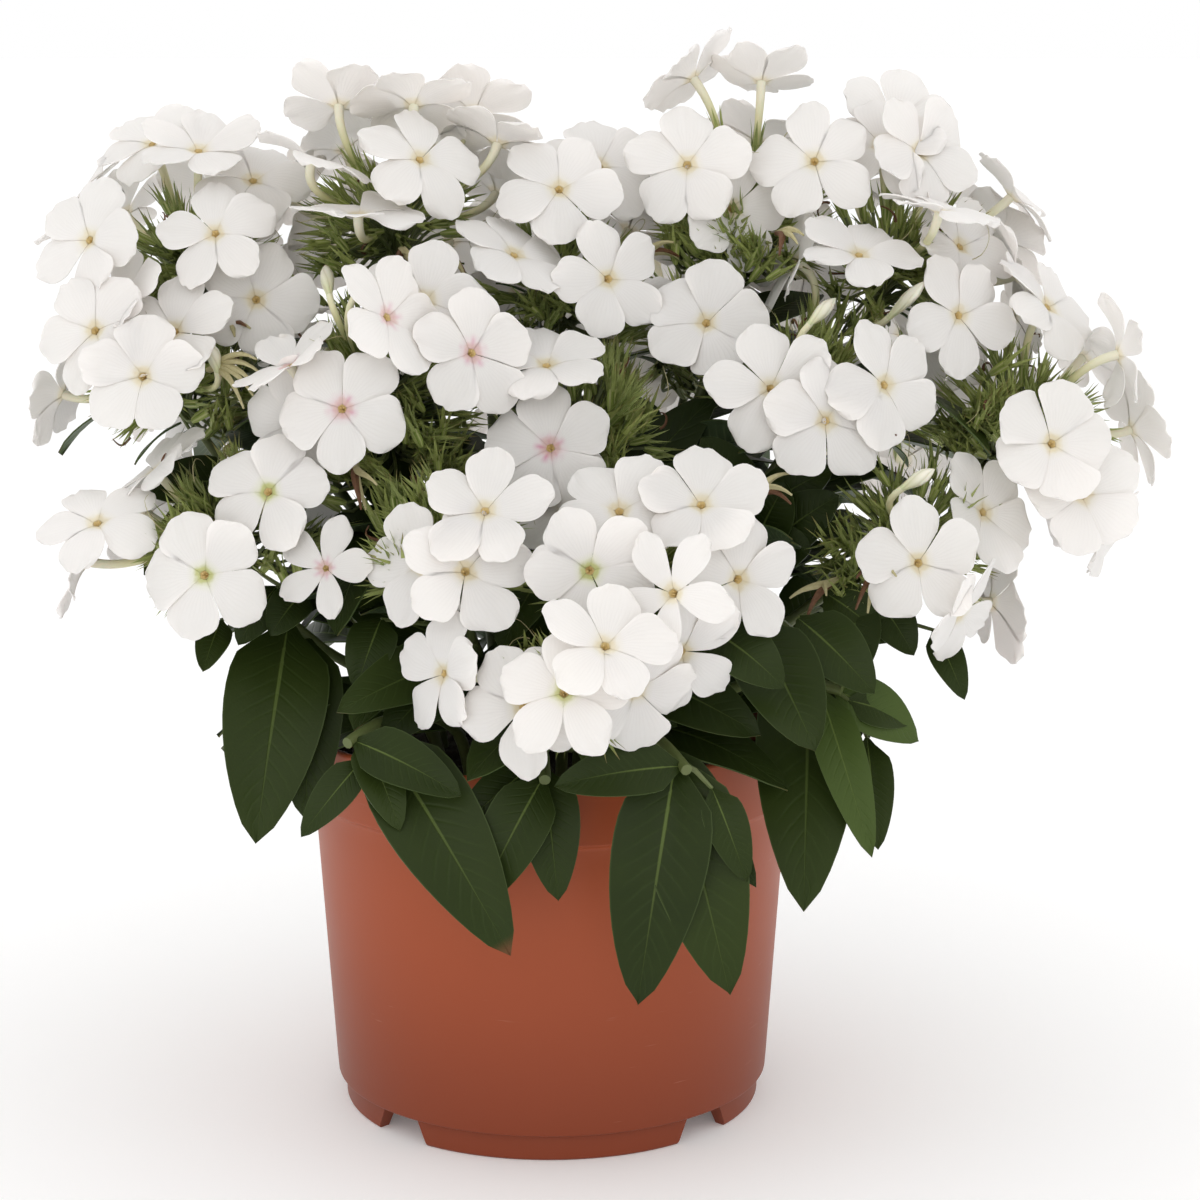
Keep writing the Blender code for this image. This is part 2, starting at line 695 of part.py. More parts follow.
def flower(name, throat, facing, roll, cup):
    return floret(throat, facing, roll, cup, stalk_root(name, throat))


def settle_floret(space, name, throat, facing, index):
    """The first small shift, roll or lean of a floret that clears all that stands already."""
    across, up = axes_about(facing, 0.0)
    sight = (throat - VIEWER).normalized()
    base_roll = ROLL_STEP * index
    cup = CUPS[index % len(CUPS)] * MM
    for own_kinds in (("limb",), ()):
        for shift in SHIFTS:
            for lean in LEANS:
                for turn in ROLLS:
                    way = (facing + across * lean[0] + up * lean[1]).normalized()
                    place = throat + sight * (shift * MM)
                    shape = flower(name, place, way, base_roll + turn, cup)
                    if space.clear(name, shape, own_kinds):
                        return place, way, base_roll + turn, cup
    return None


def fill_places(name):
    """Places spread evenly over a head's dome, the top first."""
    centre, reach, axis, start = head_frame(name)
    across, up = axes_about(axis, 0.0)
    for index in range(FILL_PLACES):
        height = 1.0 - FILL_SPAN * (index + 0.5) / FILL_PLACES
        ring = math.sqrt(1.0 - height * height)
        angle = GOLDEN_ANGLE * index
        yield (axis * height + across * (ring * math.cos(angle))
               + up * (ring * math.sin(angle)))


def inside_other_head(name, point):
    for other in HEADS:
        if other == name:
            continue
        centre, reach, axis, start = head_frame(other)
        if (point - centre).length < reach * FILL_FREE_SHARE:
            return True
    return False


def plan_florets(space):
    """All florets: those seen in front first, then even ones on the sides and the back."""
    placed = {name: [] for name in HEADS}
    throats = []
    for name, marks in FLORETS.items():
        centre, reach, axis, start = head_frame(name)
        for mark in marks:
            throat = on_dome(mark[0], mark[1], centre, reach)
            facing = (throat - start).normalized()
            if len(mark) > 3:
                facing = direction(mark[2], mark[3])
            if len(mark) > 4:
                throat += view_ray(mark[0], mark[1]) * (mark[4] * MM)
            keep_floret(space, name, throat, facing, placed, throats)
    for name in HEADS:
        if name in INNER_HEADS:
            continue
        centre, reach, axis, start = head_frame(name)
        for way in fill_places(name):
            throat = centre + way * reach
            facing = (throat - start).normalized()
            to_viewer = (VIEWER - throat).normalized()
            if name in FLORETS and facing.dot(to_viewer) > FILL_FROM_VIEW:
                continue
            if facing.z < FILL_LOWEST or inside_other_head(name, throat):
                continue
            if any((throat - other).length < FILL_SPACING for other in throats):
                continue
            keep_floret(space, name, throat, facing, placed, throats)
    return placed


def keep_floret(space, name, throat, facing, placed, throats):
    found = settle_floret(space, name, throat, facing, len(throats))
    if found is not None:
        space.add(name, flower(name, *found), "limb")
        placed[name].append(found)
        throats.append(found[0])


def plan_tufts(space):
    """Spent calyces between the florets of each head."""
    placed = {}
    for name in HEADS:
        centre, reach, axis, start = head_frame(name)
        chosen = []
        for index, way in enumerate(fill_places(name)):
            if len(chosen) == TUFTS:
                break
            tip = centre + way * TUFT_REACH
            root = stalk_root(name, tip)
            found = (root, tip, TUFT_ROLL * index)
            shape = tuft(*found)
            if space.clear(name, shape, ("limb", "tuft")):
                space.add(name, shape, "tuft")
                chosen.append(found)
        placed[name] = chosen
    return placed


def leaf_face(tip, in_front):
    """The way a leaf's upper side looks: up and out from the plant, or more to the viewer."""
    away = VIEWER - tip if in_front else tip
    rise = FRONT_LEAF_RISE if in_front else 1.0
    out = Vector((away.x, away.y, 0.0)).normalized()
    return (UP * rise + out * LEAF_FACE_OUT).normalized()


def nearest_on(path, point):
    """The point of a stem's path nearest to the given point, a little short of its top."""
    best = None
    for first, second in zip(path[1:], path[2:]):
        span = second - first
        share = max((point - first).dot(span) / span.length_squared, 0.0)
        share = min(share, LEAF_ROOT_LIMIT)
        place = first + span * share
        if best is None or (place - point).length < (best - point).length:
            best = place
    return best


def settle_leaf(space, node, base, tip, width, bow, in_front):
    """The first small shift of a leaf's tip that clears all that stands already."""
    reach = tip - base
    side = reach.cross(UP)
    side = side.normalized() if side.length > 0.001 else Vector((1.0, 0.0, 0.0))
    face = leaf_face(tip, in_front)
    for scale in LEAF_SCALES:
        for swing in LEAF_SWINGS:
            for lift in LEAF_LIFTS:
                end = base + reach * scale + side * (swing * MM) + face * (lift * MM)
                found = (base, end, width * scale, bow, face)
                shape = leaf(*found)
                if min(point.z for point in shape[0]) < LEAF_LOWEST:
                    continue
                if space.clear(node, shape):
                    return found
    return None


def keep_leaf(space, node, base, tip, width, bow, placed, in_front=False):
    found = settle_leaf(space, node, base, tip, width, bow, in_front)
    if found is not None:
        space.add(node, leaf(*found), "leaf")
        placed[node].append(found)


def plan_leaves(space, paths):
    """Leaves seen in front first, then opposite pairs, each pair turned from the last."""
    placed = {node: [] for node in paths}
    for name, marks in LEAVES.items():
        node = "stem_" + name
        for base, tip, width, bow in marks:
            root = nearest_on(paths[node], seen(base))
            keep_leaf(space, node, root, seen(tip), width * MM, bow * MM, placed, True)
    for node, (end, foot, marks) in SHOOTS.items():
        along = (paths[node][-1] - paths[node][-2]).normalized()
        for order, (tip, width, bow) in enumerate(marks):
            root = paths[node][-1] - along * (LEAF_STAGGER * (order + 0.5))
            keep_leaf(space, node, root, seen(tip), width * MM, bow * MM, placed, True)
    for order, name in enumerate(HEADS):
        node = "stem_" + name
        path = paths[node]
        height = path[-1].z - SOIL_EDGE
        pairs = max(1, int(height / LEAF_SPACING))
        for pair in range(pairs):
            level = 1.0 - (pair + LEAF_TOP) / pairs
            spot = 1 + level * (len(path) - 2)
            low = min(int(spot), len(path) - 2)
            root = path[low].lerp(path[low + 1], spot - low)
            if root.z < RIM_TOP:
                continue
            for side in (0, 1):
                angle = order * LEAF_STEM_TURN + pair * LEAF_PAIR_TURN + side * math.pi
                out = Vector((math.cos(angle), math.sin(angle), 0.0))
                away = Vector((root.x, root.y, 0.0)).normalized()
                if out.dot(away) < 0.0:
                    continue
                way = (out + away * LEAF_OUTWARD).normalized()
                tip = root + way * LEAF_LENGTH - UP * LEAF_DROOP
                if tip.z < LEAF_OPEN_BELOW and Vector((tip.x, tip.y)).length > LEAF_OPEN_REACH:
                    continue
                keep_leaf(space, node, root, tip, LEAF_WIDTH, LEAF_BOW, placed)
    return placed


def plan_stems(space):
    """The path of each stem, from its hole in the soil to its head or the end of its shoot."""
    paths = {}
    for name in HEADS:
        centre, reach, axis, start = head_frame(name)
        paths["stem_" + name] = stem_path(HEADS[name][3], start - axis * STEM_TO_HEAD, axis)
    for node, (end, foot, marks) in SHOOTS.items():
        point = seen(end)
        out = Vector((point.x, point.y, 0.0)).normalized()
        paths[node] = stem_path(foot, point, (out - UP * SHOOT_DROOP).normalized())
    for node, path in paths.items():
        space.add(node, stem_shape(path), "stem")
    return paths


def stem_shape(path):
    count = len(path) - 1
    radii = [STEM_RADIUS + (STEM_TIP_RADIUS - STEM_RADIUS) * step / count
             for step in range(count + 1)]
    return tube(path, radii, STEM_SIDES)


def core_shapes(name):
    """The middle of a head, where all its stalks meet, and the stalk that carries it."""
    centre, reach, axis, start = head_frame(name)
    ball = bmesh.new()
    bmesh.ops.create_icosphere(ball, subdivisions=1, radius=CORE_RADIUS)
    across, up = axes_about(axis, 0.0)
    verts = [centre + across * vert.co.x + up * vert.co.y + axis * (vert.co.z * CORE_STRETCH)
             for vert in ball.verts]
    faces = [tuple(vert.index for vert in face.verts) for face in ball.faces]
    ball.free()
    stalk = tube([start, centre], [STEM_TIP_RADIUS, STEM_TIP_RADIUS], STEM_SIDES)
    return [(verts, faces), stalk]


def fuse(name, shapes, surface):
    """One closed body from overlapping shapes."""
    body = make_object(name, shapes[0], surface)
    others = [make_object(name + "_piece", shape, surface) for shape in shapes[1:]]
    combine(body, others, "UNION")
    keep_main_body(body)
    body.data.materials.clear()
    body.data.materials.append(material(surface))
    return body


def build():
    clear_scene()
    space = Space()
    make_pot()
    make_soil()
    for name in ("pot", "soil"):
        mesh = bpy.data.objects[name].data
        points = [vert.co - MIDDLE for vert in mesh.vertices]
        faces = [tuple(face.vertices) for face in mesh.polygons]
        space.add(name, (points, faces), "pot")
    paths = plan_stems(space)
    for name in HEADS:
        for shape in core_shapes(name):
            space.add(name, shape, "core")
    florets = plan_florets(space)
    tufts = plan_tufts(space)
    leaves = plan_leaves(space, paths)
    for name in HEADS:
        shapes = core_shapes(name)
        shapes += [flower(name, *found) for found in florets[name]]
        shapes += [tuft(*found) for found in tufts[name]]
        fuse("head_" + name, shapes, "petal")
    for node, path in paths.items():
        shapes = [stem_shape(path)]
        shapes += [leaf(*found) for found in leaves[node]]
        fuse(node, shapes, "leaf")
    return florets, tufts, leaves


build()
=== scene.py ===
"""Looks of the potted garden phlox: fine florets, calyces, leaves, pot and soil round the frame.

Units are metres and +Z is up. The layout repeats the part's own, in millimetres about the
pot's axis, with X across the front view, Y away from the viewer and Z up from the foot of
the pot. MIDDLE then moves everything to the frame's origin, under the middle of the plant.
"""
import itertools
import math
import random

import bmesh
import bpy
import numpy as np
from mathutils import Matrix, Vector
from mathutils.bvhtree import BVHTree


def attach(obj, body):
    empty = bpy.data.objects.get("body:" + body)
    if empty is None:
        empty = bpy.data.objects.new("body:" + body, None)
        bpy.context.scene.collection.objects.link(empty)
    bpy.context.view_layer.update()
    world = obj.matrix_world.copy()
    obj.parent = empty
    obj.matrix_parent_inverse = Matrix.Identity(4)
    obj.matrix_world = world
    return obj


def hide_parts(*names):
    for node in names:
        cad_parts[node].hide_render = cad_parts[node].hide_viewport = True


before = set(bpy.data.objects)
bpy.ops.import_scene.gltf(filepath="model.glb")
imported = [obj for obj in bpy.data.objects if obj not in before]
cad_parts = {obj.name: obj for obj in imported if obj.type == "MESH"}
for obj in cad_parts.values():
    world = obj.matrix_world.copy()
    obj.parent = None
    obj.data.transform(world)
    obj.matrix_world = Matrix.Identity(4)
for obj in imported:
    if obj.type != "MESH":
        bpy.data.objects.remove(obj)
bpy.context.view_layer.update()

MM = 0.001
GAP = 0.0003
CLEARANCE = 1.5 * GAP
MIDDLE = Vector((-0.01200, -0.01066, 0.0))
UP = Vector((0.0, 0.0, 1.0))
SIDEWAYS = Vector((1.0, 0.0, 0.0))
TURN = 2.0 * math.pi

# Pot
RIM_RADIUS = 0.0750
RIM_TOP = 0.1185
COLLAR_BOTTOM = 0.0985
COLLAR_STEP = 0.0021
BODY_TOP_RADIUS = 0.0730
BODY_FOOT_RADIUS = 0.0671
FOOT_HEIGHT = 0.0083
FOOT_RADIUS = 0.0646
FOOT_CHAMFER = 0.0012
FOOT_WIDTH = 0.0040
WALL = 0.0026
FLOOR = 0.0020
FEET = 4
NOTCH_TOP_HALF_WIDTH = 0.0068
NOTCH_FOOT_HALF_WIDTH = 0.0112
DRAIN_RADIUS = 0.0045
DRAIN_RING = 0.0400

# Soil
SOIL_EDGE = 0.1050
SOIL_CROWN = 0.1085
HOLE_DEPTH = 0.0120
HOLE_CLEAR = 0.0008

# Stems and leaves
STEM_RADIUS = 0.0019
STEM_TIP_RADIUS = 0.0014
STEM_SIDES = 5
STEM_BENDS = 4
STEM_RISE = 0.45
STEM_RISE_LEAST = 0.024
STEM_LEAN_IN = 0.35
STEM_TO_HEAD = 1.6 * GAP
SHOOT_DROOP = 0.35
LEAF_THICKNESS = 0.0008
LEAF_STATIONS = ((0.0, 0.11), (0.36, 1.0), (0.70, 0.80))
LEAF_STAGGER = 0.0050
LEAF_FOLD = 0.20
LEAF_LENGTH = 0.066
LEAF_WIDTH = 0.023
LEAF_BOW = 0.008
LEAF_DROOP = 0.018
LEAF_OUTWARD = 0.5
LEAF_FACE_OUT = 0.9
FRONT_LEAF_RISE = 0.5
LEAF_SPACING = 0.018
LEAF_PAIR_TURN = math.pi / 2.0
LEAF_STEM_TURN = 0.8
LEAF_TOP = 0.35
LEAF_ROOT_LIMIT = 0.7
LEAF_LOWEST = 0.012
LEAF_OPEN_BELOW = 0.175
LEAF_OPEN_REACH = 0.106
LEAF_SCALES = (1.0, 0.92, 0.82, 0.7)
LEAF_SWINGS = (0, 5, -5, 10, -10, 16, -16)
LEAF_LIFTS = (0, 5, -5, 10, -10)

# Flower heads
PETALS = 5
PETAL_STEP = TURN / PETALS
FLORET_RADIUS = 0.0165
NOTCH_RADIUS = 0.0085
PETAL_HALF_ANGLE = math.radians(27.0)
PETAL_THICKNESS = 0.0007
PETAL_WAVE = 0.0007
TUBE_SIDES = 3
TUBE_RADIUS = 0.0013
STALK_RADIUS = 0.0010
CORE_RADIUS = 0.0080
CORE_STRETCH = 1.25
CORE_BITE = 0.0030
RACHIS_BELOW = 0.026
TUFTS = 3
TUFT_REACH = 0.027
TUFT_TEETH = 4
TUFT_RADIUS = 0.0018
TOOTH_LENGTH = 0.0100
TOOTH_SPREAD = math.radians(30.0)
TUFT_ROLL = 0.9

# Small changes tried in turn where a floret meets another: leans, rolls and shifts (mm)
LEANS = ((0, 0), (0.14, 0), (-0.14, 0), (0, 0.14), (0, -0.14), (0.2, 0.2), (-0.2, 0.2),
         (0.2, -0.2), (-0.2, -0.2), (0.34, 0), (-0.34, 0), (0, 0.34), (0, -0.34))
ROLLS = (0.0, 0.3, 0.6, 0.9)
SHIFTS = (0, -3, 3, -6, 6, -9, 9, -12, 12, 16)
CUPS = (-0.8, 0.0, 0.8, -0.4, 0.4)
ROLL_STEP = 0.7

# Even florets on the sides and the back of the heads
GOLDEN_ANGLE = math.pi * (3.0 - math.sqrt(5.0))
FILL_PLACES = 26
FILL_SPAN = 1.35
FILL_SPACING = 0.035
FILL_LOWEST = -0.12
FILL_FROM_VIEW = -0.05
FILL_FREE_SHARE = 0.92

# The point that the front view was read from, about the pot's axis
VIEWER = Vector((0.0, -0.850, 0.3194))

# Heads: centre, reach of the florets, lean outwards, and foot of the stem (mm and degrees)
HEADS = {
    "low_front": ((8, -97, 148), 31, 48, (3, -34)),
    "front": ((25, -62, 172), 41, 30, (8, -21)),
    "front_left": ((-28, -58, 176), 38, 28, (-10, -20)),
    "low_left": ((-97, -35, 180), 40, 38, (-33, -16)),
    "low_right": ((106, -30, 178), 40, 38, (37, -13)),
    "middle": ((10, -18, 206), 40, 8, (3, -7)),
    "middle_left": ((-50, -22, 218), 44, 18, (-18, -8)),
    "middle_right": ((75, -12, 214), 44, 22, (24, -5)),
    "left": ((-114, -6, 222), 37, 34, (-45, -3)),
    "right": ((140, -5, 208), 42, 42, (48, 0)),
    "top": ((3, 15, 250), 42, 4, (1, 6)),
    "top_left": ((-48, 12, 266), 43, 14, (-16, 5)),
    "far_left": ((-108, 14, 254), 42, 30, (-34, 10)),
    "top_right": ((60, 17, 264), 43, 16, (20, 8)),
    "far_right": ((104, 14, 254), 45, 28, (35, 10)),
    "back_left": ((-88, 68, 206), 40, 34, (-29, 26)),
    "back": ((-22, 78, 228), 42, 24, (-9, 28)),
    "back_middle": ((48, 74, 226), 42, 26, (15, 28)),
    "back_right": ((112, 62, 206), 41, 36, (36, 26)),
    "low_back": ((12, 112, 176), 38, 44, (4, 42)),
}

# Florets seen in the front view: across and up in the plane of the pot's axis (mm). Where a
# floret doesn't face straight out of its head, the way it faces follows: turn to the right
# of the viewer's side, and lift above level (degrees), and for some how far back they stand
# from the near side of the head (mm).
FLORETS = {
    "low_front": [(4, 127), (17, 142), (-34, 133, -52, 12), (27, 127, 30, -15, 14),
                  (41, 139, 48, -12), (-9, 122, -10, 0, 12)],
    "front": [(12, 165, 0, 10), (37, 158, -26, 10), (58, 162, 20, 14), (46, 186, 12, 34),
              (21, 184)],
    "front_left": [(-26, 165, 2, 12), (-20, 184, -14, 34), (-40, 167, -34, 6, 12),
                   (-69, 166, -8, 14)],
    "low_left": [(-106, 164, -8, 12), (-86, 190, 2, 16), (-138, 181, -12, 55)],
    "low_right": [(113, 167, 6, 10), (127, 151, 42, -12)],
    "middle": [(0, 203, -4, 18), (5, 186, 0, 8), (-1, 229, 0, 64)],
    "middle_left": [(-37, 248, 14, 28), (-48, 243, 60, 14), (-23, 232, 6, 18),
                    (-63, 215, -4, 12), (-79, 229, -30, 62), (-77, 211, -24, 10)],
    "middle_right": [(67, 221, 6, 20), (84, 211, 8, 10), (102, 222, 24, 16),
                     (47, 241, -8, 24), (73, 259, -78, 22)],
    "left": [(-123, 225, -10, 16), (-137, 239, -40, 24), (-129, 248, -48, 40),
             (-113, 239, -20, 56)],
    "right": [(163, 188, 18, 12), (153, 204, 10, 20), (151, 246, 55, 38), (173, 231, 100, 8),
              (133, 183, 36, 20), (172, 178, 66, -18)],
    "top": [(3, 281, 2, 28), (15, 288, 10, 40), (-10, 262, 42, 52), (18, 254, 18, 10)],
    "top_left": [(-38, 290, 30, 38), (-57, 274, 10, 80), (-40, 306, 178, 50),
                 (-62, 306, 176, 50), (-22, 304, 165, 48), (-15, 295, 132, 48),
                 (-70, 290, 110, 68)],
    "far_left": [(-88, 248, 4, 12), (-100, 268, -12, 26), (-104, 293, 10, 64),
                 (-118, 295, -50, 46), (-138, 266, -34, 20), (-88, 284, 10, 50, 10)],
    "top_right": [(41, 288, -8, 16), (55, 275, 12, 24, 26), (42, 314, -120, 48),
                  (63, 313, 172, 60), (79, 289, -8, 16)],
    "far_right": [(103, 301, 14, 30), (111, 292, 34, 24, 6), (117, 275, 70, 78),
                  (124, 243, 28, 14), (99, 294, -10, 40, 6), (93, 262, 10, 60),
                  (124, 264, 44, 26, 8)],
}

# Heads with others close behind them, which carry no florets on their backs
INNER_HEADS = ("low_front", "front", "front_left", "middle", "middle_left", "middle_right")

# Leaves seen under the heads: base and tip, each across, up and depth behind the pot's axis,
# then the width and how far the blade bows out (mm)
LEAVES = {
    "low_left": [((-75, 156, -52), (-92, 79, -64), 30, 8),
                 ((-60, 152, -48), (-76, 86, -56), 22, 6)],
    "front": [((86, 141, -62), (65, 113, -80), 20, 4)],
    "front_left": [((-36, 147, -66), (-66, 121, -84), 18, 4),
                   ((-40, 150, -60), (-52, 112, -76), 20, 5)],
    "low_right": [((66, 150, -40), (79, 56, -92), 30, 6),
                  ((70, 146, -40), (96, 112, -52), 20, 6)],
    "middle": [((28, 185, -25), (50, 222, -18), 20, 4)],
    "middle_left": [((-38, 180, -30), (-62, 200, -28), 18, 4),
                    ((-36, 165, -30), (-68, 180, -30), 18, 4)],
    "middle_right": [((60, 180, -20), (46, 206, -24), 16, 4),
                     ((66, 185, -15), (86, 196, -20), 16, 4)],
    "left": [((-100, 196, -10), (-124, 190, -16), 16, 3)],
}

# Small leaves on slim stalks: stem, base, tip, width and bow (mm)
SMALL_LEAVES = (
    ("stem_low_left", (-101, 150, -44), (-107, 134, -62), 10, 2),
    ("stem_low_left", (-84, 160, -46), (-96, 142, -58), 12, 3),
    ("stem_low_left", (-76, 158, -46), (-86, 145, -60), 12, 3),
    ("stem_low_right", (118, 146, -42), (128, 124, -60), 10, 3),
    ("stem_low_right", (92, 156, -44), (96, 132, -60), 15, 3),
    ("stem_low_right", (100, 156, -44), (112, 138, -56), 13, 3),
    ("stem_low_right", (84, 158, -44), (104, 142, -52), 14, 3),
    ("stem_low_right", (98, 112, -46), (102, 76, -60), 13, 3),
    ("stem_low_right", (62, 148, -56), (82, 108, -92), 24, 5),
    ("stem_low_right", (76, 150, -56), (100, 126, -74), 18, 4),
    ("stem_front", (50, 146, -80), (72, 128, -92), 16, 4),
    ("stem_front_left", (-52, 150, -58), (-60, 128, -70), 14, 3),
    ("shoot_left", (-58, 106, -82), (-78, 81, -90), 11, 3),
    ("shoot_right", (50, 96, -98), (61, 66, -104), 12, 4),
    ("shoot_side", (92, 124, -56), (112, 117, -50), 12, 2),
    ("stem_middle_right", (66, 172, -24), (88, 188, -30), 17, 3),
    ("stem_middle_right", (64, 168, -24), (80, 172, -34), 16, 3),
    ("stem_middle_right", (62, 172, -22), (72, 192, -30), 17, 3),
    ("stem_left", (-96, 190, -12), (-124, 164, -26), 16, 4),
    ("stem_left", (-92, 186, -12), (-112, 172, -30), 14, 4),
)

# Leafy shoots without flowers, which lean out over the rim: end point (across, up, depth),
# foot of the stem, and the leaves at the end: tip, width and bow (mm)
SHOOTS = {
    "shoot_left": ((-63, 111, -85), (-24, -33),
                   [((-28, 94, -100), 15, 4), ((-47, 83, -98), 13, 3),
                    ((-13, 41, -100), 27, 8)]),
    "shoot_front": ((-2, 99, -88), (-6, -44),
                    [((-24, 58, -98), 18, 6), ((2, 60, -95), 17, 4),
                     ((-31, 81, -92), 13, 4)]),
    "shoot_right": ((42, 102, -100), (16, -40),
                    [((1, 97, -108), 15, 4), ((27, 26, -102), 27, 8),
                     ((56, 29, -104), 28, 7), ((64, 64, -102), 13, 4)]),
    "shoot_side": ((90, 127, -55), (33, -30),
                   [((114, 111, -50), 16, 4), ((104, 72, -72), 14, 4)]),
}

# Fine shapes
SHARP_BLADE = math.radians(50.0)
PETAL_LENGTH = 0.0178
PETAL_WIDTHS = (0.0072, 0.0092)
PETAL_START = 0.0011
PETAL_CLAW = 0.27
PETAL_WEDGE = 1.03 * math.tan(math.pi / PETALS)
PETAL_WIDEST = 0.66
PETAL_TIP_WIDTH = 0.60
PETAL_TIP_ROUND = 0.13
PETAL_SKIN = 0.00028
PETAL_ALONG = 11
PETAL_ACROSS = 8
PETAL_TWIST = 0.16
PETAL_SWAY = 0.0016
PETAL_CURLS = (0.0042, 0.0016)
CURLED_SHARE = 0.12
PETAL_CROWN = (0.0002, 0.0012)
PETAL_GROOVE = 0.00022
EDGE_WAVE = 0.0006
TIP_WAVE = 0.0004
PETAL_SHARES = (0.86, 1.08)
PETAL_ROWS = 0.9
PETAL_RISE = 1.15
PETAL_FALL = 2.1
PETAL_SHOULDER = 2.3
PETAL_SLANT = 0.05
PETAL_DROOP = (-0.10, 0.16)
TIP_NOTCH = (-0.02, 0.04)
NOTCH_WIDTH = 0.25
GROOVE_WIDTH = 0.10
LENGTH_SHARES = (0.93, 1.05)
TWIST_SHARES = (0.5, 1.6)
FINE_CUP = 1.5
CUP_RANGE = (-0.0012, 0.0016)
WHOLE_TURN = 6.3
UNDERSIDE = 4.0
PLAIN_SHAPE = (1.0, 1.0, 0.0)
THROAT_DIP = 0.0013
MOUTH_RADIUS = 0.0015
FINE_TUBE_RADIUS = 0.00105
FINE_TUBE_SIDES = 10
FINE_TUBE_LENGTH = 0.024
TUBE_SHARE = 0.70
TUBE_POINTS = 16
TUBE_BENDS = (0.38, 0.30)
FUNNEL_SIDES = 8
POINT_RADIUS = 0.0001
THROAT_DEPTH = 0.0030
ANTHERS = 3
ANTHER_STEP = 2.1
ANTHER_SIDES = 6
ANTHER_SIZE = (0.00022, 0.0005)
ANTHER_RING = 0.0005
PETAL_TURN = 0.07
PETAL_TILT = 0.0016
CALYX_LENGTH = 0.0062
CALYX_RADIUS = 0.00115
CALYX_SIDES = 10
CALYX_RINGS = ((0.0, 0.55), (0.3, 0.95), (1.0, 1.1))
CALYX_RIBS = (1.12, 0.84)
CALYX_TEETH = 5
CALYX_OVER_TUBE = 0.6
FLORET_CALYX = 1.12
BUD_CALYX = 1.05
SHUT_TEETH = 0.10
CALYX_MOUTH = 0.9
TOOTH_RING = 1.15
TOOTH_FLARE = 1.8
TOOTH_DEPTH = 0.7
TOOTH_FOOT = (1.4, 1.0)
TOOTH_MIDDLE = (0.8, 0.6)
CALYX_TOOTH = 0.0078
CALYX_TOOTH_WIDTH = 0.00045
TOOTH_FACES = ((0, 1, 4, 3), (1, 2, 5, 4), (2, 0, 3, 5), (3, 4, 6), (4, 5, 6), (5, 3, 6),
               (0, 2, 1))
SPENT_CALYCES = 66
SPENT_SPAN = 1.5
SPENT_REACH = (0.42, 0.82)
SPENT_TURN = 0.3
SPENT_RISE = 0.25
SPENT_LEAN = 0.22
SPENT_SCALES = (0.85, 1.15)
SPENT_TEETH = (0.06, 0.30)
FREE_BAND = (-0.002, 0.016)
TWIG_FEET = (0.1, 0.75)
TWIG_BENDS = (0.35, 0.30)
TWIG_POINTS = 6
THIN_SIDES = 5
TWIG_RADIUS = 0.00055
FINE_LEAF_ALONG = 14
FINE_LEAF_ACROSS = 6
FINE_LEAF_SKIN = 0.0005
LEAF_STALK = 0.10
LEAF_STALK_RADII = (0.0009, 0.0008, 0.0006)
LEAF_FOOT = 0.24
LEAF_FOOT_WIDTH = 0.30
LEAF_WIDE_END = 0.75
LEAF_FULLNESS = 0.66
LEAF_RIPPLES = (9.0, 1.3)
FOLD_SHARES = (0.7, 1.5)
LEAF_WAVE = 0.028
LEAF_ARCH = 0.012
FINE_STEM_SIDES = 10
SWELLING = 0.25
SWELLING_REACH = 0.004
INNER_LEAF_SPACING = 0.013
INNER_LEAF_FIRST = 0.6
INNER_LEAF_TURN = 1.1
INNER_LEAF_START = 0.5
INNER_LEAF_BOW = 0.004
INNER_LEAF_LENGTH = 0.044
INNER_LEAF_WIDTH = 0.019
INNER_LEAF_RISE = 0.012
INNER_LEAF_LIMIT = 0.105
LOW_REACHES = (1.0, 0.86, 0.72)
LOW_FLORET_SPACING = 0.023
LOW_FLORET_FACING = 0.05
LOW_FLORET_HEIGHT = 0.172
LOW_FLORET_FROM_VIEW = 0.15

BRACTS = 7
BRACT_LENGTH = (0.012, 0.019)
BRACT_WIDTH = (0.0028, 0.0048)
BRACT_DEPTH = (0.004, 0.014)
BRACT_START = 0.003
BRACT_BOW = 0.0015
BRACT_STEP = 2.4
BRACT_TURN = 0.4
BRACT_RISE = (-0.25, 0.7)
BUD_REACH = 0.9
BUD_BENDS = (0.35, 0.3)
BUD_TUBE_POINTS = 10
BUD_TUBE_SEEN = 7
BUD_SHARES = (0.0, 0.10, 0.28, 0.50, 0.72, 0.88, 1.0)
BUD_RADII = (0.0002, 0.0010, 0.0019, 0.0021, 0.0016, 0.0011, 0.0009)
CURLS = 5
CURL_POINTS = 9
CURL_RISE = 0.6
CURL_TURN = (0.2, 0.6)
CURL_STEP = (0.8, 1.2)
CURL_TAPER = 0.08
SCRAPS = ((0.008, 0.0005, 3, (0.40, 0.70)), (0.014, 0.00016, 4, (0.55, 0.80)))
STRIP_RADII = (0.0009, 0.0010, 0.0011, 0.0012, 0.0011, 0.0009, 0.0007, 0.0005, 0.0003)
STRIP_SHARES = (0.45, 0.55)
STRIP_SPREAD = 0.8
STRIP_FALL = 0.9
LONG_STRIP = 15
STALK_RADII = (STEM_TIP_RADIUS, STEM_TIP_RADIUS, 0.0013, 0.0004)
STALK_PAST = 0.004
FINE_STALK_SIDES = 8
FINE_POT_SEGMENTS = 128
SHARP_POT = math.radians(32.0)
POT_ROUND = 0.0008
INSIDE_CORNER = 0.0020
COLLAR_TAPER = 0.0001
COLLAR_STRAIGHT = 0.0080
COLLAR_EDGE = 0.0006
BODY_END = 0.0040
BODY_RINGS = 9
GROOVE = (0.0003, 0.0004)
FINE_DRAIN_SIDES = 24
FINE_SOIL_SEGMENTS = 120
SOIL_RINGS = 26
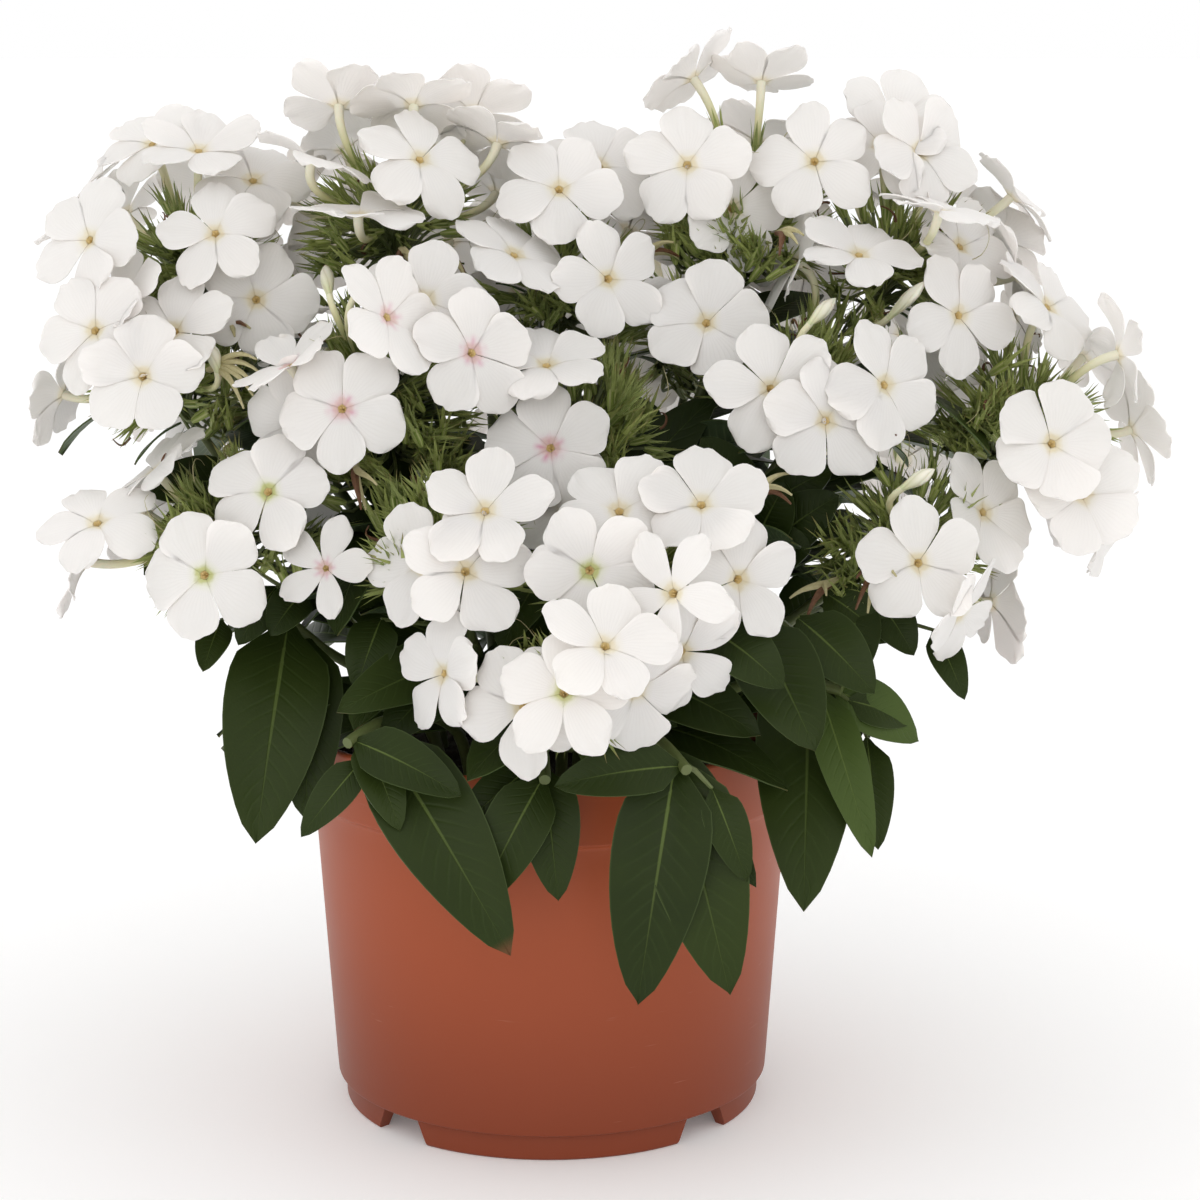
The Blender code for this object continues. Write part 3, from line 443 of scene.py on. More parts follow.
SOIL_ROOM = 3.0 * GAP
SOIL_LIFT = 0.0022
CRUMB_WAVES = ((410.0, 3.0, 230.0), (520.0, 2.0, 310.0))
CRUMB_DEPTH = 0.0040
CRUMB_HEIGHT = 0.0007
CRUMB_SINK = 0.0008

# Eyes of single florets: 1 pink star, 2 light pink, 3 green. All others are tan.
EYES = {
    ("middle_left", 3): 1, ("middle_left", 2): 1, ("middle", 0): 1, ("front_left", 3): 2,
    ("middle_left", 1): 2, ("middle_left", 4): 2, ("front", 0): 3, ("low_front", 0): 3,
    ("low_left", 1): 3, ("low_left", 0): 3,
}

# Florets of other shape: size, width and lift of the petals (mm)
SHAPES = {
    ("front", 1): (1.0, 0.62, 0.0), ("front_left", 3): (0.80, 0.75, -1.0),
    ("low_left", 2): (1.0, 1.0, -4.5), ("low_front", 2): (0.95, 0.9, -3.0),
    ("top_right", 3): (0.9, 0.9, 5.0), ("left", 2): (1.0, 0.8, 2.5),
    ("top_left", 0): (1.0, 0.8, -2.0), ("middle_left", 4): (0.95, 0.8, 2.5),
    ("right", 3): (1.0, 0.62, -3.0), ("far_left", 1): (0.95, 0.85, -2.0),
    ("low_right", 1): (0.95, 0.75, -2.0), ("middle_right", 4): (0.95, 0.8, 3.0),
}

# Buds: tip and base, across and up in the plane of the pot's axis (mm)
BUDS = {
    "middle_left": [((-67, 258), (-66, 249)), ((-54, 256), (-59, 248))],
    "far_right": [((113, 253), (102, 242))],
    "low_right": [((117, 196), (107, 190))],
    "middle_right": [((86, 248), (78, 240))],
    "middle": [((-6, 236), (-3, 226))],
    "left": [((-102, 235), (-100, 226))],
}

# Wilted flowers and dry bits: across and up (mm), length (mm) and count of their strips
WILTED = {
    "left": ((-100, 228, 22, 5), (-96, 240, 9, 3)),
    "middle_right": ((98, 208, 10, 4),),
    "top_right": ((70, 268, 10, 3),), "top_left": ((-30, 262, 12, 4), (-44, 262, 12, 4)),
    "top": ((30, 262, 10, 3),), "low_right": ((100, 166, 14, 4), (84, 160, 12, 3)),
    "middle_left": ((-60, 196, 12, 3), (-40, 190, 12, 3)), "front": ((64, 190, 12, 3),),
}

# Fans of calyces seen between the florets: across and up in the plane of the pot's axis (mm)
FANS = (
    (42, 270), (59, 267), (30, 243), (45, 262), (-45, 255), (-99, 245), (-120, 251), (90, 253),
    (96, 245), (135, 219), (21, 236), (93, 174), (-3, 143), (-66, 178), (-36, 205), (35, 268),
    (50, 275), (68, 262), (75, 245), (85, 240), (60, 235), (-55, 232), (-60, 250), (-72, 262),
    (-96, 240), (-100, 215), (-45, 215), (-25, 212), (-10, 215), (5, 250), (25, 255), (22, 228),
    (125, 205), (140, 225), (145, 213), (-118, 247),
    (-54, 190), (-62, 198), (-46, 182), (-74, 196), (-40, 196), (-28, 202), (-118, 178),
    (-112, 186), (-97, 205), (90, 160), (84, 168), (88, 180), (80, 150), (28, 218), (36, 228),
    (20, 208), (66, 232), (-5, 247), (110, 215), (118, 212), (128, 213), (-80, 178), (-58, 172),
)
FAN_SIZE = 9
FAN_REACH = 0.86
FAN_SPREAD = 0.55
FAN_RISE = 0.5
FAN_WIDTH = 3.5
FAN_DEPTH = 0.12
FAN_SCALES = (0.95, 1.25)
FAN_TEETH = (0.08, 0.26)

# Camera, floor and lights
CAMERA_LENS = 84.72
CAMERA_SENSOR = 36.0
CAMERA_CLIP = (0.01, 1000.0)
CAMERA_TURN = (math.pi / 2.0 - 0.1901, 0.0, -0.0178)
FLOOR_HALF_SIZE = 300.0
WORLD_STRENGTH = 1.0
LIGHTS = (
    ("key", (-0.25, -1.75, 0.80), (0.0, 0.0, 0.18), (1.4, 1.4), 5.5, (1.0, 0.97, 0.94)),
    ("side", (1.5, -0.5, 0.8), (0.0, 0.0, 0.18), (0.8, 1.2), 0.3, (1.0, 1.0, 1.0)),
)

# Leaves of another look, by stem or by stem and number: 1 pale and young, 2 brown at the tip
LEAF_KINDS = {"shoot_side": 1.0, ("shoot_left", 2): 2.0}

# Colours of the grainy bits: dark and light grains
THROAT_COLOURS = ((0.62, 0.48, 0.20), (0.74, 0.60, 0.32))
ANTHER_COLOURS = ((0.62, 0.44, 0.18), (0.76, 0.60, 0.30))
WITHERED_COLOURS = ((0.060, 0.022, 0.010), (0.190, 0.085, 0.035))
STRAW_COLOURS = ((0.34, 0.30, 0.13), (0.52, 0.47, 0.28))


def inner_radius(height):
    """The inside of the pot's wall below the collar."""
    share = (height - FOOT_HEIGHT) / (COLLAR_BOTTOM - COLLAR_STEP - FOOT_HEIGHT)
    return BODY_FOOT_RADIUS + (BODY_TOP_RADIUS - BODY_FOOT_RADIUS) * share - WALL


def view_ray(across, up):
    """The line of sight through a place in the plane of the pot's axis."""
    return (Vector((across, 0.0, up)) * MM - VIEWER).normalized()


def seen(place):
    """The point that shows at (across, up) and lies depth mm behind the pot's axis."""
    across, up, depth = place
    ray = view_ray(across, up)
    return VIEWER + ray * ((depth * MM - VIEWER.y) / ray.y)


def direction(turn, lift):
    """A unit vector turned to the right of the viewer's side and lifted above level."""
    turn, lift = math.radians(turn), math.radians(lift)
    return Vector((math.sin(turn) * math.cos(lift), -math.cos(turn) * math.cos(lift),
                   math.sin(lift)))


def axes_about(facing, roll):
    """Two axes square to facing, the second as upright as it can be, rolled about it."""
    across = facing.cross(UP)
    if across.length < 0.05:
        across = SIDEWAYS.copy()
    across.normalize()
    up = across.cross(facing)
    turn = Matrix.Rotation(roll, 3, facing)
    return turn @ across, turn @ up


def around(across, up, angle, radius=1.0):
    """A step in the plane of two axes, at an angle from the second towards the first."""
    return (across * math.sin(angle) + up * math.cos(angle)) * radius


def bezier(points, share):
    a, b, c, d = points
    rest = 1.0 - share
    return (a * rest ** 3 + b * (3.0 * rest ** 2 * share) + c * (3.0 * rest * share ** 2)
            + d * share ** 3)


def curve_points(guides, count):
    return [bezier(guides, step / count) for step in range(count + 1)]


def rod_points(points, radii, sides):
    """Rings of points round a line, each turned as little as can be from the one before."""
    last = len(points) - 1
    side = None
    rings = []
    for index, point in enumerate(points):
        way = (points[min(index + 1, last)] - points[max(index - 1, 0)]).normalized()
        side = way.orthogonal() if side is None else side - way * side.dot(way)
        side.normalize()
        other = way.cross(side)
        for step in range(sides):
            angle = TURN * step / sides
            ring = side * math.cos(angle) + other * math.sin(angle)
            rings.append(point + ring * radii[index])
    return rings


def rod_faces(rings, sides, capped=True):
    faces = []
    for low in range(0, (rings - 1) * sides, sides):
        for side in range(sides):
            after = (side + 1) % sides
            faces.append((low + side, low + after, low + sides + after, low + sides + side))
    if capped:
        faces.append(tuple(reversed(range(sides))))
        faces.append(tuple(range((rings - 1) * sides, rings * sides)))
    return faces


def plain_rod(points, radii, sides):
    return rod_points(points, radii, sides), rod_faces(len(points), sides)


def ring_points(centre, across, up, radius, count):
    """Points on a circle, the first halfway between two petals."""
    return [centre + around(across, up, TURN * step / count - math.pi / PETALS, radius)
            for step in range(count)]


def floret(throat, facing, roll, cup, root):
    """A flat five-lobed flower and its slim tube, which runs back to its root in the head.

    Each petal has two shoulders, above and below; neighbours meet in a thin notch.
    """
    across, up = axes_about(facing, roll)
    verts = []
    for petal in range(PETALS):
        middle = PETAL_STEP * petal
        verts.append(throat + around(across, up, middle - PETAL_STEP * 0.5, NOTCH_RADIUS))
        for side, wave in ((-1.0, PETAL_WAVE), (1.0, -PETAL_WAVE)):
            flat = around(across, up, middle + side * PETAL_HALF_ANGLE, FLORET_RADIUS)
            for face in (0.5, -0.5):
                verts.append(throat + flat + facing * (cup + wave + face * PETAL_THICKNESS))
    centre = len(verts)
    verts.append(throat + facing * (0.5 * PETAL_THICKNESS))
    along = (throat - root).normalized()
    low_across = (across - along * across.dot(along)).normalized()
    low_up = along.cross(low_across)
    low_up = low_up if low_up.dot(up) > 0.0 else -low_up
    collar = throat - facing * (0.5 * PETAL_THICKNESS)
    verts += ring_points(collar, across, up, TUBE_RADIUS, TUBE_SIDES)
    verts += ring_points(root, low_across, low_up, STALK_RADIUS, TUBE_SIDES)
    neck = centre + 1
    faces = [tuple(range(neck + TUBE_SIDES, neck + 2 * TUBE_SIDES))]
    for side in range(TUBE_SIDES):
        after = (side + 1) % TUBE_SIDES
        faces.append((neck + side, neck + TUBE_SIDES + side, neck + TUBE_SIDES + after,
                      neck + after))
    low_rim = []
    for notch in range(0, 5 * PETALS, 5):
        first_top, first_low, second_top, second_low = range(notch + 1, notch + 5)
        following = (notch + 5) % centre
        faces += [(centre, notch, first_top), (centre, first_top, second_top),
                  (centre, second_top, following)]
        faces += [(notch, first_low, first_top), (second_top, second_low, following),
                  (first_top, first_low, second_low, second_top)]
        low_rim += [notch, first_low, second_low]
    nearest = [neck + round(TUBE_SIDES * (step + 0.5) / len(low_rim)) % TUBE_SIDES
               for step in range(len(low_rim))]
    for step, vert in enumerate(low_rim):
        after = low_rim[(step + 1) % len(low_rim)]
        faces.append((nearest[step], after, vert))
        if nearest[step - 1] != nearest[step]:
            faces.append((nearest[step - 1], nearest[step], vert))
    return verts, faces


def tuft(root, tip, roll):
    """A spent calyx on its stalk: a slim stem that opens into pointed teeth."""
    facing = (tip - root).normalized()
    across, up = axes_about(facing, roll)
    verts = []
    for point, radius in ((root, STALK_RADIUS), (tip, TUFT_RADIUS)):
        for tooth in range(TUFT_TEETH):
            verts.append(point + around(across, up, TURN * tooth / TUFT_TEETH, radius))
    for tooth in range(TUFT_TEETH):
        out = around(across, up, TURN * (tooth + 0.5) / TUFT_TEETH)
        lean = facing * math.cos(TOOTH_SPREAD) + out * math.sin(TOOTH_SPREAD)
        verts.append(tip + lean * TOOTH_LENGTH)
    inside = len(verts)
    verts.append(tip - facing * TUFT_RADIUS * 0.5)
    faces = [tuple(reversed(range(TUFT_TEETH)))]
    for tooth in range(TUFT_TEETH):
        after = (tooth + 1) % TUFT_TEETH
        low, high = TUFT_TEETH + tooth, TUFT_TEETH + after
        point = 2 * TUFT_TEETH + tooth
        faces += [(tooth, after, high, low), (low, high, point), (high, inside, point),
                  (inside, low, point)]
    return verts, faces


def leaf_line(base, tip, bow, face, share):
    """A leaf's midrib at a share of its length, and the ways to its side and its top."""
    middle = (base + tip) * 0.5 + face.normalized() * (bow * 2.0)
    rest = 1 - share
    point = base * rest ** 2 + middle * (2 * share * rest) + tip * share ** 2
    way = ((middle - base) * rest + (tip - middle) * share).normalized()
    side = way.cross(face).normalized()
    return point, side, side.cross(way)


def leaf(base, tip, width, bow, face):
    """A lance-shaped blade from base to tip, folded along its midrib and bowed towards face."""
    verts = []
    for share, part in LEAF_STATIONS:
        point, side, top = leaf_line(base, tip, bow, face, share)
        half = width * 0.5 * part
        for surface in (0.5, -0.5):
            for offset in (-1.0, 0.0, 1.0):
                edge = side * (half * offset) + top * (half * LEAF_FOLD * abs(offset))
                verts.append(point + edge + top * (LEAF_THICKNESS * surface))
    point, side, top = leaf_line(base, tip, bow, face, 1.0)
    verts += [point + top * LEAF_THICKNESS * 0.5, point - top * LEAF_THICKNESS * 0.5]
    faces = [(0, 1, 4, 3), (1, 2, 5, 4)]
    last = 6 * (len(LEAF_STATIONS) - 1)
    for low in range(0, last, 6):
        for half, level in itertools.product((0, 1), (0, 3)):
            a = low + level + half
            b, c, d = a + 1, a + 7, a + 6
            faces += [(a, b, d), (b, c, d)] if half else [(a, b, c), (a, c, d)]
        for edge in (low, low + 2):
            faces.append((edge, edge + 6, edge + 9, edge + 3))
    point = last + 6
    for half in (0, 1):
        faces.append((last + half, last + half + 1, point))
        faces.append((last + 3 + half, last + 4 + half, point + 1))
    faces.append((last, point, point + 1, last + 3))
    faces.append((last + 2, point, point + 1, last + 5))
    return verts, faces


class Space:
    """What stands where, so that the pieces of different nodes stay clear of each other."""

    def __init__(self):
        self.taken = []
        self.throats = []

    def add(self, node, shape, kind):
        self.taken.append((node, kind) + corners(shape[0]) + (BVHTree.FromPolygons(*shape),))

    def clear(self, node, shape, own_kinds=(), skipped=()):
        """True where the shape touches nothing of other nodes, nor its own of those kinds."""
        shape = swollen(shape, CLEARANCE)
        low, high = corners(shape[0])
        tree = None
        for other, kind, other_low, other_high, other_tree in self.taken:
            if (other == node and kind not in own_kinds) or kind in skipped:
                continue
            if any(low[axis] > other_high[axis] or high[axis] < other_low[axis]
                   for axis in range(3)):
                continue
            tree = tree or BVHTree.FromPolygons(*shape)
            if tree.overlap(other_tree):
                return False
        return True


def corners(points):
    return (Vector([min(point[axis] for point in points) for axis in range(3)]),
            Vector([max(point[axis] for point in points) for axis in range(3)]))


def swollen(shape, margin):
    """The shape with its skin moved outwards by the margin."""
    points, faces = shape
    mesh = bmesh.new()
    verts = [mesh.verts.new(point) for point in points]
    for face in faces:
        mesh.faces.new([verts[index] for index in face])
    bmesh.ops.recalc_face_normals(mesh, faces=mesh.faces)
    mesh.normal_update()
    moved = [vert.co + vert.normal * margin for vert in verts]
    mesh.free()
    return moved, faces


class Head:
    """A flower head: its centre, reach and outward axis, and where its own stalk starts."""

    def __init__(self, name):
        centre, reach, lean, self.foot = HEADS[name]
        self.name = name
        self.centre = Vector(centre) * MM
        self.reach = reach * MM
        out = Vector((self.centre.x, self.centre.y, 0.0)).normalized()
        self.axis = UP * math.cos(math.radians(lean)) + out * math.sin(math.radians(lean))
        self.start = self.centre - self.axis * RACHIS_BELOW
        self.across, self.up = axes_about(self.axis, 0.0)

    def stalk_root(self, point):
        """Where the stalk of a flower at the point starts, sunk in the core of the head."""
        return self.centre + (point - self.centre).normalized() * (CORE_RADIUS - CORE_BITE)

    def dome(self, across, up, share=1.0):
        """The near point of the head's dome on a line of sight, or the dome's edge beside it."""
        ray = view_ray(across, up)
        reach = self.reach * share
        along = (self.centre - VIEWER).dot(ray)
        miss = (VIEWER + ray * along - self.centre).length
        near = math.sqrt(max(reach * reach - miss * miss, 0.0))
        return VIEWER + ray * (along - near)

    def way(self, height, angle):
        """A unit vector at a height along the head's axis and an angle about it."""
        ring = math.sqrt(1.0 - height * height)
        return (self.axis * height + self.across * (ring * math.cos(angle))
                + self.up * (ring * math.sin(angle)))

    def ways(self):
        """Directions spread evenly over the head's dome, the top first."""
        for index in range(FILL_PLACES):
            height = 1.0 - FILL_SPAN * (index + 0.5) / FILL_PLACES
            yield self.way(height, GOLDEN_ANGLE * index)

    def core_shapes(self):
        """The middle of the head, where all its stalks meet, and the stalk that carries it."""
        ball = bmesh.new()
        bmesh.ops.create_icosphere(ball, subdivisions=1, radius=CORE_RADIUS)
        verts = [self.centre + self.across * vert.co.x + self.up * vert.co.y
                 + self.axis * (vert.co.z * CORE_STRETCH) for vert in ball.verts]
        faces = [tuple(vert.index for vert in face.verts) for face in ball.faces]
        ball.free()
        stalk = plain_rod([self.start, self.centre], [STEM_TIP_RADIUS] * 2, STEM_SIDES)
        return [(verts, faces), stalk]


heads = {name: Head(name) for name in HEADS}


def keep_floret(space, placed, head, throat, facing):
    """Adds a floret with the first small shift, roll or lean that clears all that stands."""
    across, up = axes_about(facing, 0.0)
    sight = (throat - VIEWER).normalized()
    index = len(space.throats)
    cup = CUPS[index % len(CUPS)] * MM
    for own_kinds, shift, lean, turn in itertools.product((("limb",), ()), SHIFTS, LEANS, ROLLS):
        way = (facing + across * lean[0] + up * lean[1]).normalized()
        place = throat + sight * (shift * MM)
        roll = ROLL_STEP * index + turn
        shape = floret(place, way, roll, cup, head.stalk_root(place))
        if space.clear(head.name, shape, own_kinds):
            space.add(head.name, shape, "limb")
            space.throats.append(place)
            placed[head.name].append((place, way, roll, cup))
            return


def front_florets(space, placed):
    """The florets that show in the front view."""
    for name, marks in FLORETS.items():
        head = heads[name]
        for across, up, *more in marks:
            throat = head.dome(across, up)
            facing = direction(*more[:2]) if more else (throat - head.start).normalized()
            if len(more) > 2:
                throat += view_ray(across, up) * (more[2] * MM)
            keep_floret(space, placed, head, throat, facing)


def even_florets(space, placed, shares, spacing, from_view, least_lift, lowest=0.0):
    """Even florets at shares of the heads' reach, where none stands near or in another head."""
    for name, head in heads.items():
        if name in INNER_HEADS:
            continue
        others = [other for other in heads.values() if other is not head]
        for share, way in itertools.product(shares, list(head.ways())):
            throat = head.centre + way * (head.reach * share)
            facing = (throat - head.start).normalized()
            if name in FLORETS and facing.dot((VIEWER - throat).normalized()) > from_view:
                continue
            if facing.z < least_lift or throat.z < lowest:
                continue
            if any((throat - other.centre).length < other.reach * FILL_FREE_SHARE
                   for other in others):
                continue
            if any((throat - other).length < spacing for other in space.throats):
                continue
            keep_floret(space, placed, head, throat, facing)


def take_tufts(space):
    """The room of the spent calyces between the florets of each head."""
    for head in heads.values():
        count = 0
        for index, way in enumerate(head.ways()):
            tip = head.centre + way * TUFT_REACH
            shape = tuft(head.stalk_root(tip), tip, TUFT_ROLL * index)
            if count < TUFTS and space.clear(head.name, shape, ("limb", "tuft")):
                space.add(head.name, shape, "tuft")
                count += 1


def leaf_face(tip, in_front):
    """The way a leaf's upper side looks: up and out from the plant, or more to the viewer."""
    away = VIEWER - tip if in_front else tip
    rise = FRONT_LEAF_RISE if in_front else 1.0
    out = Vector((away.x, away.y, 0.0)).normalized()
    return (UP * rise + out * LEAF_FACE_OUT).normalized()


def nearest_on(path, point):
    """The point of a stem's path nearest to the given point, a little short of its top."""
    places = []
    for first, second in zip(path[1:], path[2:]):
        span = second - first
        share = max((point - first).dot(span) / span.length_squared, 0.0)
        places.append(first + span * min(share, LEAF_ROOT_LIMIT))
    return min(places, key=lambda place: (place - point).length)


def along_path(path, level):
    """The point of a stem at a share of the way from the soil to its top."""
    spot = 1 + level * (len(path) - 2)
    low = min(int(spot), len(path) - 2)
    return path[low].lerp(path[low + 1], spot - low)


def keep_leaf(space, placed, node, base, tip, width, bow, in_front=False):
    """Adds a leaf with the first small shift of its tip that clears all that stands."""
    reach = tip - base
    side = reach.cross(UP)
    side = side.normalized() if side.length > 0.001 else SIDEWAYS
    face = leaf_face(tip, in_front)
    for scale, swing, lift in itertools.product(LEAF_SCALES, LEAF_SWINGS, LEAF_LIFTS):
        end = base + reach * scale + side * (swing * MM) + face * (lift * MM)
        found = (base, end, width * scale, bow, face)
        shape = leaf(*found)
        if min(point.z for point in shape[0]) >= LEAF_LOWEST and space.clear(node, shape):
            space.add(node, shape, "leaf")
            placed[node].append(found)
            return


def front_leaves(space, placed, paths):
    """The leaves that show in the front view."""
    for name, marks in LEAVES.items():
        node = "stem_" + name
        for base, tip, width, bow in marks:
            root = nearest_on(paths[node], seen(base))
            keep_leaf(space, placed, node, root, seen(tip), width * MM, bow * MM, True)
    for node, (end, foot, marks) in SHOOTS.items():
        along = (paths[node][-1] - paths[node][-2]).normalized()
        for order, (tip, width, bow) in enumerate(marks):
            root = paths[node][-1] - along * (LEAF_STAGGER * (order + 0.5))
            keep_leaf(space, placed, node, root, seen(tip), width * MM, bow * MM, True)


def paired_leaves(space, placed, paths):
    """Opposite pairs up each stem, each pair turned from the last."""
    for order, name in enumerate(HEADS):
        node = "stem_" + name
        pairs = max(1, int((paths[node][-1].z - SOIL_EDGE) / LEAF_SPACING))
        for pair, side in itertools.product(range(pairs), (0, 1)):
            root = along_path(paths[node], 1.0 - (pair + LEAF_TOP) / pairs)
            angle = order * LEAF_STEM_TURN + pair * LEAF_PAIR_TURN + side * math.pi
            out = Vector((math.cos(angle), math.sin(angle), 0.0))
            away = Vector((root.x, root.y, 0.0)).normalized()
            if root.z < RIM_TOP or out.dot(away) < 0.0:
                continue
            way = (out + away * LEAF_OUTWARD).normalized()
            tip = root + way * LEAF_LENGTH - UP * LEAF_DROOP
            if tip.z < LEAF_OPEN_BELOW and Vector((tip.x, tip.y)).length > LEAF_OPEN_REACH:
                continue
            keep_leaf(space, placed, node, root, tip, LEAF_WIDTH, LEAF_BOW)


def inner_leaves(space, paths):
    """Leaves inside the plant, which the plain leafy stems leave out."""
    placed = {node: [] for node in paths}
    for order, (node, path) in enumerate(paths.items()):
        pairs = int((path[-1].z - SOIL_CROWN) / INNER_LEAF_SPACING)
        for pair, side in itertools.product(range(pairs), (0, 1)):
            root = along_path(path, (pair + INNER_LEAF_FIRST) / pairs)
            angle = order * INNER_LEAF_TURN + pair * LEAF_PAIR_TURN + side * math.pi
            angle += INNER_LEAF_START
            out = Vector((math.cos(angle), math.sin(angle), 0.0))
            tip = root + out * INNER_LEAF_LENGTH + UP * INNER_LEAF_RISE
            found = (root, tip, INNER_LEAF_WIDTH, INNER_LEAF_BOW, leaf_face(tip, False))
            if Vector((tip.x, tip.y, 0.0)).length > INNER_LEAF_LIMIT:
                continue
            if space.clear(node, leaf(*found), (), ("leaf",)):
                placed[node].append(found)
    return placed


def stem_path(foot, end, lean_in):
    """Points of a stem that rises straight out of its hole and comes in to end along lean_in."""
    start = Vector((foot[0] * MM, foot[1] * MM, SOIL_EDGE - HOLE_DEPTH + HOLE_CLEAR))
    mouth = Vector((start.x, start.y, SOIL_CROWN))
    rise = end - mouth
    guides = (mouth, mouth + UP * max(rise.z * STEM_RISE, STEM_RISE_LEAST),
              end - lean_in * rise.length * STEM_LEAN_IN, end)
    return [start] + curve_points(guides, STEM_BENDS)


def stem_radii(path):
    last = len(path) - 1
    return [STEM_RADIUS + (STEM_TIP_RADIUS - STEM_RADIUS) * index / last
            for index in range(last + 1)]


def stem_paths():
    """The path of each stem, from its hole in the soil to its head or the end of its shoot."""
    paths = {}
    for name, head in heads.items():
        paths["stem_" + name] = stem_path(head.foot, head.start - head.axis * STEM_TO_HEAD,
                                          head.axis)
    for node, (end, foot, marks) in SHOOTS.items():
        point = seen(end)
        out = Vector((point.x, point.y, 0.0)).normalized()
        paths[node] = stem_path(foot, point, (out - UP * SHOOT_DROOP).normalized())
    return paths


def plan_plant():
    """Where every stem, floret and leaf stands: the solid plant's first, then the added ones."""
    space = Space()
    for name in ("pot", "soil"):
        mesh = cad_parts[name].data
        points = [vert.co - MIDDLE for vert in mesh.vertices]
        space.add(name, (points, [tuple(face.vertices) for face in mesh.polygons]), "pot")
    paths = stem_paths()
    for node, path in paths.items():
        space.add(node, plain_rod(path, stem_radii(path), STEM_SIDES), "stem")
    for name, head in heads.items():
        for shape in head.core_shapes():
            space.add(name, shape, "core")
    florets = {name: [] for name in HEADS}
    leaves = {node: [] for node in paths}
    low_florets = {name: [] for name in HEADS}
    front_florets(space, florets)
    even_florets(space, florets, (1.0,), FILL_SPACING, FILL_FROM_VIEW, FILL_LOWEST)
    take_tufts(space)
    front_leaves(space, leaves, paths)
    paired_leaves(space, leaves, paths)
    even_florets(space, low_florets, LOW_REACHES, LOW_FLORET_SPACING, LOW_FLORET_FROM_VIEW,
                 LOW_FLORET_FACING, LOW_FLORET_HEIGHT)
    for node, added in inner_leaves(space, paths).items():
        leaves[node] += added
    return paths, florets, low_florets, leaves


class Patch:
    """Points, faces and blade coordinates of one piece, gathered bit by bit.

    Each point has its place across and along its blade, then a seed and a kind, from which
    the materials take their veins, tints and marks.
    """

    def __init__(self):
        self.points = []
        self.blades = []
        self.faces = []
        self.slots = []
        self.count = 0

    def add(self, points, faces, blades, slot):
        points = np.asarray(points, float).reshape(-1, 3)
        self.points.append(points)
        self.blades.append(np.asarray(blades, float).reshape(-1, 4))
        self.faces += [tuple(self.count + index for index in face) for face in faces]
        self.slots += [slot] * len(faces)
        self.count += len(points)

    def add_blade(self, upper, lower, across, along, seed, kind, slot):
        """A thin blade from its upper and lower grids of points."""
        seed = np.full_like(across, seed)
        top = np.stack([across, along, seed, np.full_like(across, kind)], -1).reshape(-1, 4)
        under = top + np.array([0.0, 0.0, 0.0, UNDERSIDE])
        self.add(np.concatenate([upper.reshape(-1, 3), lower.reshape(-1, 3)]),
                 sheet_faces(*across.shape), np.concatenate([top, under]), slot)

    def add_rod(self, points, radii, sides, slot, seed, along=(0.0, 1.0), capped=True):
        """A round rod through the points."""
        blades = []
        for index in range(len(points)):
            share = along[0] + (along[1] - along[0]) * index / (len(points) - 1)
            blades += [(step / sides, share, seed, 0.0) for step in range(sides)]
        self.add(rod_points(points, radii, sides), rod_faces(len(points), sides, capped),
                 blades, slot)


def sheet_faces(rows, columns):
    """Faces of a thin blade: upper grid, lower grid and the rim between them."""
    size = rows * columns
    starts = [row * columns + column for row in range(rows - 1) for column in range(columns - 1)]
    faces = [(low, low + 1, low + columns + 1, low + columns) for low in starts]
    faces += [tuple(index + size for index in reversed(face)) for face in faces]
    rim = list(range(columns)) + list(range(2 * columns - 1, size, columns))
    rim += list(range(size - 2, size - columns - 1, -1))
    rim += list(range(size - 2 * columns, 0, -columns))
    for here, after in zip(rim, rim[1:] + rim[:1]):
        faces.append((after, here, here + size, after + size))
    return faces


def new_object(name, data):
    """An object in the scene for a mesh, a light or a camera."""
    made = bpy.data.objects.new(name, data)
    bpy.context.scene.collection.objects.link(made)
    return made


def make_piece(name, patch, materials, node=None):
    """The object of a patch, in its place in the frame."""
    mesh = bpy.data.meshes.new(name)
    points = np.concatenate(patch.points) + np.array(MIDDLE)
    mesh.from_pydata(points.tolist(), [], patch.faces)
    for surface in materials:
        mesh.materials.append(surface)
    mesh.polygons.foreach_set("material_index", patch.slots)
    corner = np.zeros(len(mesh.loops), np.int32)
    mesh.loops.foreach_get("vertex_index", corner)
    blades = np.concatenate(patch.blades)[corner]
    for layer, part in (("blade", blades[:, :2]), ("seed", blades[:, 2:])):
        mesh.uv_layers.new(name=layer).uv.foreach_set("vector", part.astype(np.float32).ravel())
    mesh.validate()
    mesh.shade_smooth()
    mesh.set_sharp_from_angle(angle=SHARP_BLADE)
    piece = new_object(name, mesh)
    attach(piece, "root")
    if node:
        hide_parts(node)


def blade_grid(columns, rows, power=1.0):
    """Places across a blade, from -1 to 1, and along it, from 0 to 1."""
    return np.meshgrid(np.linspace(-1.0, 1.0, columns + 1),
                       np.linspace(0.0, 1.0, rows + 1) ** power)


